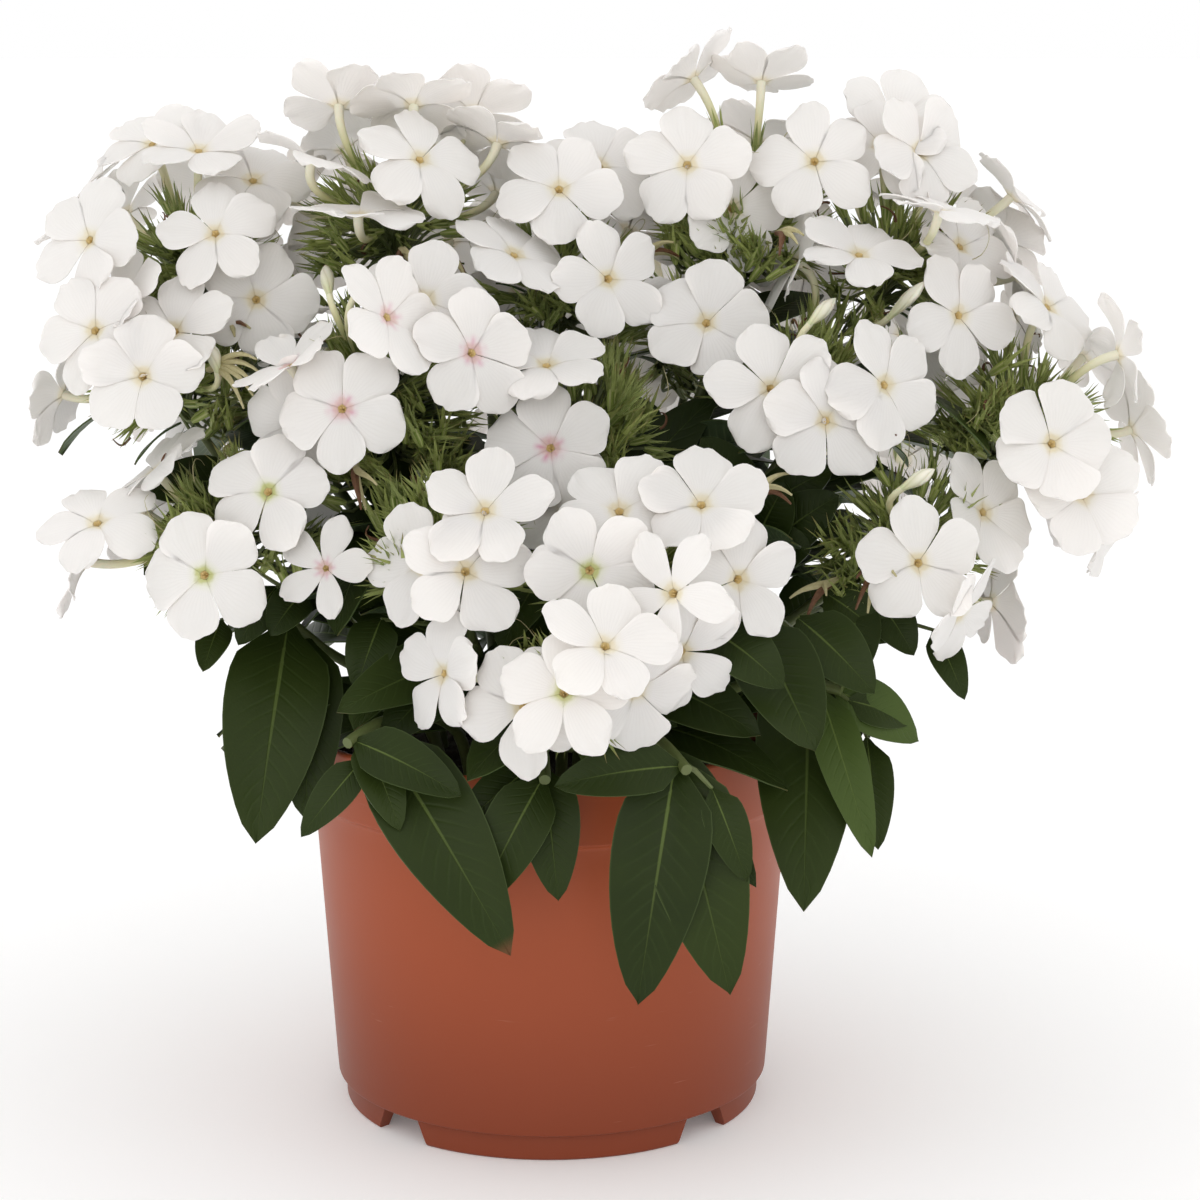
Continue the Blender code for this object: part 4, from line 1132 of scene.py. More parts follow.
def petal_grid(draw, half_width, cup):
    """Points of one petal, from its claw at the throat, lying along +X with +Z up."""
    across, along = blade_grid(PETAL_ACROSS, PETAL_ALONG, PETAL_ROWS)
    side = np.abs(across)
    rise = np.sin(0.5 * math.pi * np.clip(along / PETAL_WIDEST, 0.0, 1.0)) ** PETAL_RISE
    fall = np.clip((along - PETAL_WIDEST) / (1.0 - PETAL_WIDEST), 0.0, 1.0) ** PETAL_FALL
    width = half_width * (PETAL_CLAW + (1.0 - PETAL_CLAW) * rise)
    width = width * (1.0 - (1.0 - PETAL_TIP_WIDTH) * fall)
    touching = PETAL_WEDGE * (PETAL_START + PETAL_LENGTH * along)
    width = np.where(along < PETAL_WIDEST, np.minimum(width, touching), width)
    drop = PETAL_TIP_ROUND * along ** 4 * side ** PETAL_SHOULDER
    drop = drop + draw.uniform(-PETAL_SLANT, PETAL_SLANT) * along ** 3 * across
    notch = draw.uniform(*TIP_NOTCH) * along ** 6 * np.exp(-(across / NOTCH_WIDTH) ** 2)
    x = PETAL_START + PETAL_LENGTH * draw.uniform(*LENGTH_SHARES) * (along - drop - notch)
    y = across * width
    y = y + PETAL_SWAY * draw.uniform(-1.0, 1.0) * along ** 2
    z = -THROAT_DIP * (1.0 - along) ** 6
    curl = PETAL_CURLS[0] if draw.random() < CURLED_SHARE else PETAL_CURLS[1]
    z = z + (cup + curl * draw.uniform(-1.0, 1.0)) * along ** 2
    z = z + draw.uniform(*PETAL_CROWN) * np.sin(math.pi * along)
    z = z - draw.uniform(*PETAL_DROOP) * np.abs(y) * side * along
    z = z + PETAL_TWIST * y * along * draw.uniform(*TWIST_SHARES)
    phase = draw.uniform(0.0, WHOLE_TURN)
    z = z + EDGE_WAVE * along ** 2 * side * np.sin(5.0 * across + 3.0 * along + phase)
    z = z + TIP_WAVE * along ** 3 * np.sin(7.0 * across + 2.0 * phase)
    groove = np.exp(-(across / GROOVE_WIDTH) ** 2)
    z = z - PETAL_GROOVE * groove * (1.0 - along) ** 0.5 * along
    return np.stack([x, y, z], -1).reshape(-1, 3), across, along


def petal(patch, matrix, draw, half_width, cup, seed, kind):
    """One petal with its under side, moved to its place in the floret."""
    points, across, along = petal_grid(draw, half_width, cup)
    turn, place = np.array(matrix.to_3x3()).T, np.array(matrix.translation)
    lower = points - np.array([0.0, 0.0, PETAL_SKIN])
    patch.add_blade(points @ turn + place, lower @ turn + place, across, along, seed, kind, 0)


def calyx(patch, base, way, seed, roll, scale, spread):
    """A ribbed green cup with five long pointed teeth."""
    across, up = axes_about(way, roll)
    points = []
    blades = []
    for share, radius in CALYX_RINGS:
        for step in range(CALYX_SIDES):
            ring = across * math.cos(TURN * step / CALYX_SIDES)
            ring += up * math.sin(TURN * step / CALYX_SIDES)
            rib = CALYX_RIBS[step % 2]
            points.append(base + way * (CALYX_LENGTH * scale * share)
                          + ring * (CALYX_RADIUS * scale * radius * rib))
            blades.append((step / CALYX_SIDES, share * 0.5, seed, 0.0))
    patch.add(points, rod_faces(len(CALYX_RINGS), CALYX_SIDES, False), blades, 0)
    mouth = base + way * (CALYX_LENGTH * scale) * CALYX_MOUTH
    half = CALYX_TOOTH * scale * 0.5
    for tooth in range(CALYX_TEETH):
        angle = TURN * tooth / CALYX_TEETH
        ring = across * math.cos(angle) + up * math.sin(angle)
        start = mouth + ring * (CALYX_RADIUS * scale * TOOTH_RING)
        middle = start + (way + ring * spread).normalized() * half
        tip = middle + (way + ring * (spread * TOOTH_FLARE)).normalized() * half
        edge = way.cross(ring).normalized() * CALYX_TOOTH_WIDTH * scale
        back = ring * (CALYX_TOOTH_WIDTH * scale * TOOTH_DEPTH)
        points = []
        for point, width, depth in ((start, *TOOTH_FOOT), (middle, *TOOTH_MIDDLE)):
            points += [point - edge * width, point + edge * width, point - back * depth]
        points.append(tip)
        blades = [(side, share, seed, 0.0) for share in (0.5, 0.75) for side in (0.0, 1.0, 0.5)]
        patch.add(points, TOOTH_FACES, blades + [(0.5, 1.0, seed, 0.0)], 0)


def fine_floret(blooms, greens, head, found, draw, kind=0, shape=PLAIN_SHAPE):
    """Petals, tube, throat and anthers of a floret, and its calyx and stalk."""
    size, width, lift = shape
    throat, facing, roll, cup = found
    root = head.stalk_root(throat)
    across, up = axes_about(facing, roll)
    seed = draw.random()
    half_width = draw.uniform(*PETAL_WIDTHS) * width
    cup = cup * FINE_CUP + draw.uniform(*CUP_RANGE) + lift * MM
    for number in range(PETALS):
        angle = PETAL_STEP * number + draw.uniform(-PETAL_TURN, PETAL_TURN)
        out = around(across, up, angle)
        matrix = Matrix((out, facing.cross(out), facing)).transposed().to_4x4()
        matrix = matrix @ Matrix.Scale(size, 4)
        matrix.translation = throat
        tilt = draw.uniform(-PETAL_TILT, PETAL_TILT)
        petal(blooms, matrix, draw, half_width * draw.uniform(*PETAL_SHARES), cup + tilt, seed,
              kind)
    distance = (throat - root).length
    down = (throat - root).normalized()
    guides = (throat - facing * THROAT_DIP, throat - facing * (TUBE_BENDS[0] * distance),
              root + down * (TUBE_BENDS[1] * distance), root)
    path = curve_points(guides, TUBE_POINTS)
    lengths = [0.0]
    for one, two in zip(path, path[1:]):
        lengths.append(lengths[-1] + (two - one).length)
    tube_length = min(FINE_TUBE_LENGTH, TUBE_SHARE * lengths[-1])
    tube = [point for point, length in zip(path, lengths) if length <= tube_length]
    count = len(tube) - 1
    radii = [FINE_TUBE_RADIUS + (MOUTH_RADIUS - FINE_TUBE_RADIUS) * (1.0 - step / count) ** 1.5
             for step in range(count + 1)]
    blooms.add_rod(tube, radii, FINE_TUBE_SIDES, 1, seed, capped=False)
    funnel = [throat - facing * (THROAT_DIP * 0.9), throat - facing * (THROAT_DIP + THROAT_DEPTH)]
    blooms.add_rod(funnel, (MOUTH_RADIUS * 0.85, POINT_RADIUS), FUNNEL_SIDES, 2, seed,
                   capped=False)
    for number in range(ANTHERS):
        ring = around(across, up, ANTHER_STEP * number + WHOLE_TURN * seed)
        spot = throat - facing * (THROAT_DIP * (0.8 + 0.4 * number)) + ring * ANTHER_RING
        way = (facing + ring * 0.4).normalized() * ANTHER_SIZE[1]
        blooms.add_rod([spot - way * 0.5, spot, spot + way * 0.5],
                       (POINT_RADIUS, ANTHER_SIZE[0], POINT_RADIUS), ANTHER_SIDES, 3, seed)
    mouth = min(count, len(path) - 2)
    way = (path[mouth] - path[mouth + 1]).normalized()
    base = path[mouth] - way * (CALYX_LENGTH * CALYX_OVER_TUBE)
    calyx(greens, base, way, seed, roll, FLORET_CALYX, SHUT_TEETH)
    twig(greens, head, base, way, draw)


def twig(greens, head, base, way, draw):
    """A stalk from the base of a calyx to the main stalk in the middle of its head."""
    foot = head.centre - head.axis * (RACHIS_BELOW * draw.uniform(*TWIG_FEET))
    span = (base - foot).length
    guides = (base, base - way * (TWIG_BENDS[0] * span),
              foot + head.axis * (TWIG_BENDS[1] * span), foot)
    points = curve_points(guides, TWIG_POINTS)
    greens.add_rod(points, [TWIG_RADIUS] * len(points), THIN_SIDES, 1, draw.random())


def spent_calyx(greens, head, tip, way, scale, spread, draw):
    """A calyx without a flower, with its teeth at the tip, and its stalk."""
    base = tip - way * ((CALYX_LENGTH + CALYX_TOOTH) * scale)
    calyx(greens, base, way, draw.random(), draw.uniform(0.0, 3.0), scale, draw.uniform(*spread))
    twig(greens, head, base, way, draw)


def any_way(draw):
    """A random vector, in which no part passes one."""
    return Vector([draw.uniform(-1, 1) for axis in range(3)])


def tip_is_free(tip, planes):
    """False where a calyx would come out in front of a floret."""
    for throat, facing in planes:
        gap = tip - throat
        height = gap.dot(facing)
        if FREE_BAND[0] < height < FREE_BAND[1]:
            if (gap - facing * height).length < PETAL_LENGTH:
                return False
    return True


def spent_calyces(greens, head, planes, draw):
    """Calyces whose flowers have dropped, crowded between the florets of a head."""
    for index in range(SPENT_CALYCES):
        height = 1.0 - SPENT_SPAN * (index + 0.5) / SPENT_CALYCES
        turn = draw.uniform(-SPENT_TURN, SPENT_TURN)
        way = head.way(height, GOLDEN_ANGLE * index + turn)
        way = (way + head.axis * SPENT_RISE).normalized()
        tip = head.centre + way * (head.reach * draw.uniform(*SPENT_REACH))
        if not tip_is_free(tip, planes):
            tip = head.centre + way * (head.reach * SPENT_REACH[0])
        way = (way + any_way(draw) * SPENT_LEAN).normalized()
        spent_calyx(greens, head, tip, way, draw.uniform(*SPENT_SCALES), SPENT_TEETH, draw)


def head_at(across, up):
    """The head whose dome is nearest the viewer on a line of sight."""
    ray = view_ray(across, up)
    found = []
    for head in heads.values():
        along = (head.centre - VIEWER).dot(ray)
        miss = (VIEWER + ray * along - head.centre).length
        if miss <= head.reach * FAN_REACH:
            near = along - math.sqrt((head.reach * FAN_REACH) ** 2 - miss * miss)
            found.append((near, head.name))
    return heads[min(found)[1]] if found else None


def calyx_fans(patches):
    """Spent calyces in full view between the florets, in close fans."""
    draw = random.Random("fans")
    for across, up in FANS:
        head = head_at(across, up)
        for number in range(FAN_SIZE if head else 0):
            spot = (across + draw.gauss(0.0, FAN_WIDTH), up + draw.gauss(0.0, FAN_WIDTH))
            tip = head.dome(*spot, draw.uniform(FAN_REACH - FAN_DEPTH, FAN_REACH))
            way = (tip - head.centre).normalized() + head.axis * FAN_RISE
            way = (way + any_way(draw) * FAN_SPREAD).normalized()
            spent_calyx(patches[head.name], head, tip, way, draw.uniform(*FAN_SCALES),
                        FAN_TEETH, draw)


def fine_leaf(patch, found, draw, kind=0.0, slot=0):
    """A lance-shaped blade with a folded midrib and a slightly waved edge."""
    base, tip, width, bow, face = found
    across, along = blade_grid(FINE_LEAF_ACROSS, FINE_LEAF_ALONG)
    part = np.sin(math.pi * along ** LEAF_WIDE_END).clip(0.0) ** LEAF_FULLNESS
    foot = np.clip(along / LEAF_FOOT, 0.0, 1.0)
    foot = foot * foot * (3.0 - 2.0 * foot)
    part = part * (LEAF_FOOT_WIDTH + (1.0 - LEAF_FOOT_WIDTH) * foot)
    part = part + LEAF_STALK * (1.0 - along) ** 6
    phase = draw.uniform(0.0, WHOLE_TURN)
    fold = LEAF_FOLD * draw.uniform(*FOLD_SHARES)
    length = (tip - base).length
    points = np.zeros(across.shape + (3,))
    tops = np.zeros(across.shape + (3,))
    for row, column in np.ndindex(across.shape):
        share = float(along[row, column])
        u = float(across[row, column])
        point, side, top = leaf_line(base, tip, bow, face, share)
        half = width * 0.5 * float(part[row, column])
        lift = half * fold * abs(u)
        ripple = math.sin(LEAF_RIPPLES[0] * share + phase + LEAF_RIPPLES[1] * u)
        lift += LEAF_WAVE * width * abs(u) * ripple
        lift -= LEAF_ARCH * length * abs(u) ** 2 * math.sin(math.pi * share)
        points[row, column] = point + side * (half * u) + top * lift
        tops[row, column] = top
    patch.add_blade(points, points - tops * FINE_LEAF_SKIN, across, along, draw.random(), kind,
                    slot)


def fine_path(path):
    """A smooth line through the bends of a stem."""
    points = [path[0]]
    for index in range(1, len(path) - 1):
        before = path[max(index - 1, 1)]
        one = path[index]
        two = path[index + 1]
        after = path[min(index + 2, len(path) - 1)]
        for step in range(4):
            t = step / 4.0
            points.append(0.5 * ((2.0 * one) + (two - before) * t
                                 + (2.0 * before - 5.0 * one + 4.0 * two - after) * t ** 2
                                 + (3.0 * one - before - 3.0 * two + after) * t ** 3))
    return points + [path[-1]]


def bud(blooms, greens, head, tip, base, draw):
    """A furled bud on its tube, with its calyx and stalk."""
    root = head.stalk_root(base)
    way = (tip - base).normalized()
    length = (tip - base).length
    span = (base - root).length
    seed = draw.random()
    points = [tip - way * (length * share) for share in BUD_SHARES]
    blooms.add_rod(points, BUD_RADII, FINE_TUBE_SIDES, 4, seed)
    guides = (base + way * MM, base - way * (BUD_BENDS[0] * span),
              root + (base - root) * BUD_BENDS[1], root)
    path = curve_points(guides, BUD_TUBE_POINTS)[:BUD_TUBE_SEEN]
    blooms.add_rod(path, [MM] * BUD_TUBE_SEEN, FINE_TUBE_SIDES, 1, seed, (0.3, 1.0))
    lean = (path[-2] - path[-1]).normalized()
    foot = path[-1] - lean * CALYX_LENGTH * 0.4
    calyx(greens, foot, lean, seed, 0.0, BUD_CALYX, SHUT_TEETH)
    twig(greens, head, foot, lean, draw)


def bracts(greens, head, draw):
    """Small narrow leaves low in a head."""
    for number in range(BRACTS):
        angle = BRACT_STEP * number + draw.uniform(-BRACT_TURN, BRACT_TURN)
        out = head.across * math.cos(angle) + head.up * math.sin(angle)
        way = (out + head.axis * draw.uniform(*BRACT_RISE)).normalized()
        base = head.centre - head.axis * draw.uniform(*BRACT_DEPTH) + way * BRACT_START
        tip = base + way * draw.uniform(*BRACT_LENGTH)
        face = (head.axis + out * 0.2).normalized()
        fine_leaf(greens, (base, tip, draw.uniform(*BRACT_WIDTH), BRACT_BOW, face), draw, 1.0, 2)


def curly(greens, head, draw, length, radius, slot, reach_share):
    """Thin curled remains of spent flowers."""
    for number in range(CURLS):
        way = Vector([draw.gauss(0, 1) for axis in range(3)]).normalized()
        way = (way + head.axis * CURL_RISE).normalized()
        point = head.centre + way * (head.reach * draw.uniform(*reach_share))
        turn = Vector([draw.gauss(0, 1) for axis in range(3)]).normalized()
        points = []
        for step in range(CURL_POINTS):
            points.append(point)
            way = (way + turn.cross(way) * draw.uniform(*CURL_TURN)).normalized()
            point = point + way * (length * draw.uniform(*CURL_STEP) / (CURL_POINTS - 1.0))
        radii = [radius * (1.0 - CURL_TAPER * step) for step in range(CURL_POINTS)]
        greens.add_rod(points, radii, THIN_SIDES, slot, draw.random())


def wilted(greens, head, draw):
    """Limp dry strips of spent flowers that show between the florets of a head."""
    for across, up, length, count in WILTED.get(head.name, ()):
        top = head.dome(across, up, FAN_REACH)
        out = (top - head.centre).normalized()
        for number in range(count):
            way = (out + any_way(draw) * STRIP_SPREAD).normalized()
            middle = top + way * (length * STRIP_SHARES[0] * MM)
            fall = (way - UP * STRIP_FALL).normalized()
            tip = middle + fall * (length * STRIP_SHARES[1] * MM)
            guides = (top - out * 0.006, top + out * 0.002, middle, tip)
            slot = 3 if number % 2 and length < LONG_STRIP else 4
            points = curve_points(guides, len(STRIP_RADII) - 1)
            greens.add_rod(points, STRIP_RADII, THIN_SIDES, slot, draw.random())


def fine_stem(patch, path, leaves, draw):
    """A round stem with slight swellings where its leaves stand."""
    points = fine_path(path)
    radii = stem_radii(points)
    for index, point in enumerate(points):
        near = min([(point - found[0]).length for found in leaves] + [1.0])
        radii[index] *= 1.0 + SWELLING * math.exp(-(near / SWELLING_REACH) ** 2)
    patch.add_rod(points, radii, FINE_STEM_SIDES, 1, draw.random())


def small_leaves(patch, node, path, draw):
    """Small leaves of one stem, each on a slim stalk that comes from the stem."""
    for owner, base, tip, width, bow in SMALL_LEAVES:
        if owner != node:
            continue
        base, tip = seen(base), seen(tip)
        root = nearest_on(path, base)
        middle = root.lerp(base, 0.5) + UP * (0.1 * (base - root).length)
        fine_leaf(patch, (base, tip, width * MM, bow * MM, leaf_face(tip, True)), draw)
        patch.add_rod([root, middle, base], LEAF_STALK_RADII, 6, 1, draw.random())


def arc(centre, radius, first, last, steps=5):
    """Profile points of a rounded corner, angles in degrees."""
    angles = [math.radians(first + (last - first) * step / steps) for step in range(steps + 1)]
    return [(centre[0] + radius * math.cos(angle), centre[1] + radius * math.sin(angle))
            for angle in angles]


def turned(profile, segments, relief=None):
    """A closed body from profile points (radius, height), from axis to axis, about the axis."""
    points = []
    rings = []
    for radius, height in profile:
        start = len(points)
        if radius < 1e-6:
            rings.append([start])
            points.append((0.0, 0.0, height))
            continue
        for step in range(segments):
            angle = TURN * step / segments
            lift = relief(radius, angle, height) if relief else 0.0
            points.append((radius * math.cos(angle), radius * math.sin(angle), height + lift))
        rings.append(list(range(start, start + segments)))
    faces = []
    for one, two in zip(rings, rings[1:]):
        for step in range(segments):
            after = (step + 1) % segments
            face = [one[step % len(one)], one[after % len(one)],
                    two[after % len(two)], two[step % len(two)]]
            faces.append(tuple(dict.fromkeys(face)))
    return points, faces


def plain_object(name, shape):
    points, faces = shape
    mesh = bpy.data.meshes.new(name)
    mesh.from_pydata([Vector(point) + MIDDLE for point in points], [], faces)
    work = bmesh.new()
    work.from_mesh(mesh)
    bmesh.ops.recalc_face_normals(work, faces=work.faces)
    work.to_mesh(mesh)
    work.free()
    return new_object(name, mesh)


def foot_notch(angle):
    """A wedge that parts the foot ring, wider at the floor."""
    out = Vector((math.cos(angle), math.sin(angle), 0.0))
    along = Vector((-math.sin(angle), math.cos(angle), 0.0))
    points = []
    for height, half in ((-MM, NOTCH_FOOT_HALF_WIDTH), (FOOT_HEIGHT, NOTCH_TOP_HALF_WIDTH)):
        for reach in (FOOT_RADIUS - FOOT_WIDTH * 2.0, FOOT_RADIUS * 1.2):
            for side in (-1.0, 1.0):
                points.append(out * reach + along * (half * side) + UP * height)
    faces = [(0, 1, 3, 2), (4, 6, 7, 5), (0, 4, 5, 1), (2, 3, 7, 6), (0, 2, 6, 4), (1, 5, 7, 3)]
    return points, faces


def cut(body, cutters):
    """The body without the cutters, which go away."""
    for cutter in cutters:
        step = body.modifiers.new("cut", "BOOLEAN")
        step.operation = "DIFFERENCE"
        step.solver = "EXACT"
        step.object = cutter
    graph = bpy.context.evaluated_depsgraph_get()
    mesh = bpy.data.meshes.new_from_object(body.evaluated_get(graph))
    body.modifiers.clear()
    body.data = mesh
    for cutter in cutters:
        bpy.data.objects.remove(cutter)


def fine_pot(surface):
    """The pot with rounded rim, stepped collar, groove over the foot ring and four feet."""
    floor_top = FOOT_HEIGHT + FLOOR
    foot_inside = FOOT_RADIUS - FOOT_WIDTH
    lip = WALL * 0.5
    step = COLLAR_BOTTOM - COLLAR_STEP
    profile = [(0.0, floor_top), (inner_radius(floor_top) - INSIDE_CORNER, floor_top),
               (inner_radius(floor_top), floor_top + INSIDE_CORNER),
               (inner_radius(COLLAR_BOTTOM), COLLAR_BOTTOM)]
    profile += arc((RIM_RADIUS - lip, RIM_TOP - lip), lip, 180.0, 0.0, 8)
    profile += [(RIM_RADIUS - COLLAR_TAPER, COLLAR_BOTTOM + COLLAR_STRAIGHT)]
    profile += arc((RIM_RADIUS - POT_ROUND, COLLAR_BOTTOM + COLLAR_EDGE), POT_ROUND, 0.0,
                   -80.0, 4)
    profile += [(BODY_TOP_RADIUS + 2.0 * COLLAR_TAPER, step + COLLAR_EDGE),
                (BODY_TOP_RADIUS, step)]
    slope = (BODY_TOP_RADIUS - BODY_FOOT_RADIUS) / (step - FOOT_HEIGHT)
    for height in np.linspace(step - BODY_END, FOOT_HEIGHT + BODY_END, BODY_RINGS):
        profile.append((BODY_FOOT_RADIUS + slope * (height - FOOT_HEIGHT), float(height)))
    profile += arc((BODY_FOOT_RADIUS - POT_ROUND, FOOT_HEIGHT + POT_ROUND), POT_ROUND, 0.0,
                   -90.0, 4)
    profile += [(FOOT_RADIUS + GROOVE[0], FOOT_HEIGHT),
                (FOOT_RADIUS, FOOT_HEIGHT - GROOVE[1]),
                (FOOT_RADIUS, FOOT_CHAMFER)]
    profile += arc((FOOT_RADIUS - FOOT_CHAMFER, FOOT_CHAMFER), FOOT_CHAMFER, -15.0, -90.0, 4)
    profile += [(foot_inside, 0.0), (foot_inside - FOOT_CHAMFER, FOOT_HEIGHT), (0.0, FOOT_HEIGHT)]
    pot = plain_object("fine_pot", turned(profile, FINE_POT_SEGMENTS))
    cutters = []
    for foot in range(FEET):
        angle = TURN * (foot + 0.5) / FEET
        cutters.append(plain_object("notch", foot_notch(angle)))
        centre = Vector((DRAIN_RING * math.cos(angle), DRAIN_RING * math.sin(angle), 0.0))
        hole = [(0.0, floor_top * 1.5), (DRAIN_RADIUS, floor_top * 1.5),
                (DRAIN_RADIUS, FOOT_HEIGHT * 0.5), (0.0, FOOT_HEIGHT * 0.5)]
        points, faces = turned(hole, FINE_DRAIN_SIDES)
        points = [Vector(point) + centre for point in points]
        cutters.append(plain_object("drain", (points, faces)))
    cut(pot, cutters)
    pot.data.materials.clear()
    pot.data.materials.append(surface)
    pot.data.shade_smooth()
    pot.data.set_sharp_from_angle(angle=SHARP_POT)
    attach(pot, "root")
    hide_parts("pot")


def crumbs(radius, angle, height):
    """Uneven lumps of the soil's surface."""
    if height < SOIL_EDGE - CRUMB_DEPTH:
        return 0.0
    place = (radius * math.cos(angle), radius * math.sin(angle))
    wave = 0.0
    for axis, (along, lean, across) in enumerate(CRUMB_WAVES):
        wave += math.sin(along * place[axis] + lean * math.sin(across * place[1 - axis]))
    return CRUMB_HEIGHT * wave - CRUMB_SINK


def fine_soil(surface):
    """The soil with its crown, round edge and crumbs."""
    share = 1.0 - (SOIL_EDGE - COLLAR_BOTTOM) / (RIM_TOP - COLLAR_BOTTOM)
    edge = inner_radius(COLLAR_BOTTOM) * share + (RIM_RADIUS - WALL) * (1.0 - share)
    low = FOOT_HEIGHT + FLOOR + SOIL_LIFT
    profile = [(0.0, SOIL_CROWN - MM)]
    for part in np.linspace(1.0 / (SOIL_RINGS - 1), 1.0, SOIL_RINGS):
        rise = (SOIL_CROWN - SOIL_EDGE) * (1.0 - part ** 2)
        profile.append(((edge - SOIL_ROOM) * float(part), SOIL_EDGE + float(rise)))
    profile += [(inner_radius(COLLAR_BOTTOM) - SOIL_ROOM, COLLAR_BOTTOM),
                (inner_radius(low) - SOIL_ROOM, low), (0.0, low)]
    soil = plain_object("fine_soil", turned(profile, FINE_SOIL_SEGMENTS, crumbs))
    soil.data.materials.append(surface)
    soil.data.shade_smooth()
    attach(soil, "root")
    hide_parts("soil")


class Value:
    """An output of a material's nodes; arithmetic on it adds the nodes that work it out."""

    def __init__(self, surface, socket):
        self.surface = surface
        self.socket = socket

    def __add__(self, other):
        return self.surface.math("ADD", self, other)

    def __sub__(self, other):
        return self.surface.math("SUBTRACT", self, other)

    def __rsub__(self, other):
        return self.surface.math("SUBTRACT", other, self)

    def __mul__(self, other):
        return self.surface.math("MULTIPLY", self, other)

    def __truediv__(self, other):
        return self.surface.math("DIVIDE", self, other)

    def __pow__(self, other):
        return self.surface.math("POWER", self, other)

    def __abs__(self):
        return self.surface.math("ABSOLUTE", self)

    def wave(self):
        """The size of the sine, which comes back to nothing at each half turn."""
        return abs(self.surface.math("SINE", self))

    def near(self, mark):
        return self.surface.math("COMPARE", self, mark, 0.5)

    def step(self, low, high, first=0.0, last=1.0):
        """A soft step from first to last where the value goes from low to high."""
        inputs = {0: self, 1: low, 2: high, 3: first, 4: last}
        return self.surface.make("MapRange", {"interpolation_type": "SMOOTHSTEP"}, inputs)


class Surface:
    """A material under construction: short calls that add and join its nodes."""

    def __init__(self, name, **constants):
        self.material = bpy.data.materials.new(name)
        self.material.use_nodes = True
        self.tree = self.material.node_tree
        self.shader = self.tree.nodes["Principled BSDF"]
        self.put(self.shader, constants)

    def put(self, node, inputs):
        for key, value in inputs.items():
            socket = node.inputs[key if isinstance(key, int) else key.replace("_", " ")]
            if isinstance(value, Value):
                self.tree.links.new(value.socket, socket)
            elif isinstance(value, tuple) and len(value) == 3 and socket.type == "RGBA":
                socket.default_value = value + (1.0,)
            else:
                socket.default_value = value

    def make(self, kind, settings, inputs, output=0):
        node = self.tree.nodes.new("ShaderNode" + kind)
        for key, value in settings.items():
            setattr(node, key, value)
        self.put(node, inputs)
        return Value(self, node.outputs[output])

    def math(self, operation, *values, clamp=False):
        settings = {"operation": operation, "use_clamp": clamp}
        return self.make("Math", settings, dict(enumerate(values)))

    def mix(self, share, one, two):
        settings = {"data_type": "RGBA", "blend_type": "MIX"}
        return self.make("Mix", settings, {0: share, 6: one, 7: two}, 2)

    def place(self):
        return self.make("TexCoord", {}, {}, "Object")

    def noise(self, scale, detail=3.0, vector=None):
        inputs = {"Scale": scale, "Detail": detail, "Vector": vector or self.place()}
        return self.make("TexNoise", {}, inputs)

    def blade(self):
        """Across, along, seed, kind and underside of the point on its blade."""
        parts = []
        for layer in ("blade", "seed"):
            place = self.make("UVMap", {"uv_map": layer}, {})
            parts += [self.make("SeparateXYZ", {}, {0: place}, axis) for axis in (0, 1)]
        u, v, seed, kind = parts
        under = self.math("GREATER_THAN", kind, UNDERSIDE - 0.5)
        return u, v, seed, kind - under * UNDERSIDE, under

    def finish(self, colour, bump, strength=0.2, distance=0.0003, **inputs):
        inputs["Base_Color"] = colour
        relief = {"Height": bump, "Strength": strength, "Distance": distance}
        inputs["Normal"] = self.make("Bump", {}, relief)
        self.put(self.shader, inputs)
        return self.material


def petal_surface():
    made = Surface("petal_skin", Roughness=0.5, Specular_IOR_Level=0.25,
                   Subsurface_Weight=0.5, Subsurface_Scale=0.003,
                   Subsurface_Radius=(1.0, 0.95, 0.92))
    u, v, seed, kind, under = made.blade()
    cloud = made.noise(140.0)
    colour = made.mix(seed, (0.895, 0.855, 0.82), (0.88, 0.845, 0.815))
    colour = made.mix(cloud * 0.25, colour, (0.86, 0.80, 0.74))
    # Painted light: the undersides get a warmer, slightly lighter white than the tops, standing
    # in for light shining through the thin petals.
    back = made.mix(seed, (0.915, 0.86, 0.81), (0.905, 0.86, 0.825))
    colour = made.mix(under * 0.8, colour, back)
    vein = (u * 20.0 + cloud * 2.5).wave() ** 6.0
    colour = made.mix(vein * v.step(0.95, 0.1) * 0.13, colour, (0.66, 0.60, 0.59))
    rosy = kind.near(1.0)
    blush = kind.near(2.0)
    green = kind.near(3.0)
    tint = made.mix(rosy, (0.80, 0.72, 0.46), (0.80, 0.40, 0.52))
    tint = made.mix(blush, tint, (0.82, 0.62, 0.66))
    tint = made.mix(green, tint, (0.72, 0.76, 0.34))
    colour = made.mix(v.step(0.24, 0.03) * 0.38, colour, tint)
    narrow = made.math("SUBTRACT", 1.0, abs(u) * 2.2, clamp=True)
    streak = v.step(0.26, 0.06) * narrow * cloud.step(0.35, 0.6)
    pink = streak * (rosy * 0.9 + blush * 0.45)
    colour = made.mix(pink, colour, (0.66, 0.16, 0.32))
    spot = (v + (made.noise(420.0) - 0.5) * 0.12).step(0.135, 0.03)
    eye = made.mix(rosy + blush, (0.74, 0.61, 0.36), (0.70, 0.42, 0.38))
    eye = made.mix(green, eye, (0.42, 0.44, 0.08))
    colour = made.mix(spot * 0.8, colour, eye)
    return made.finish(colour, vein, 0.12, 0.0002)


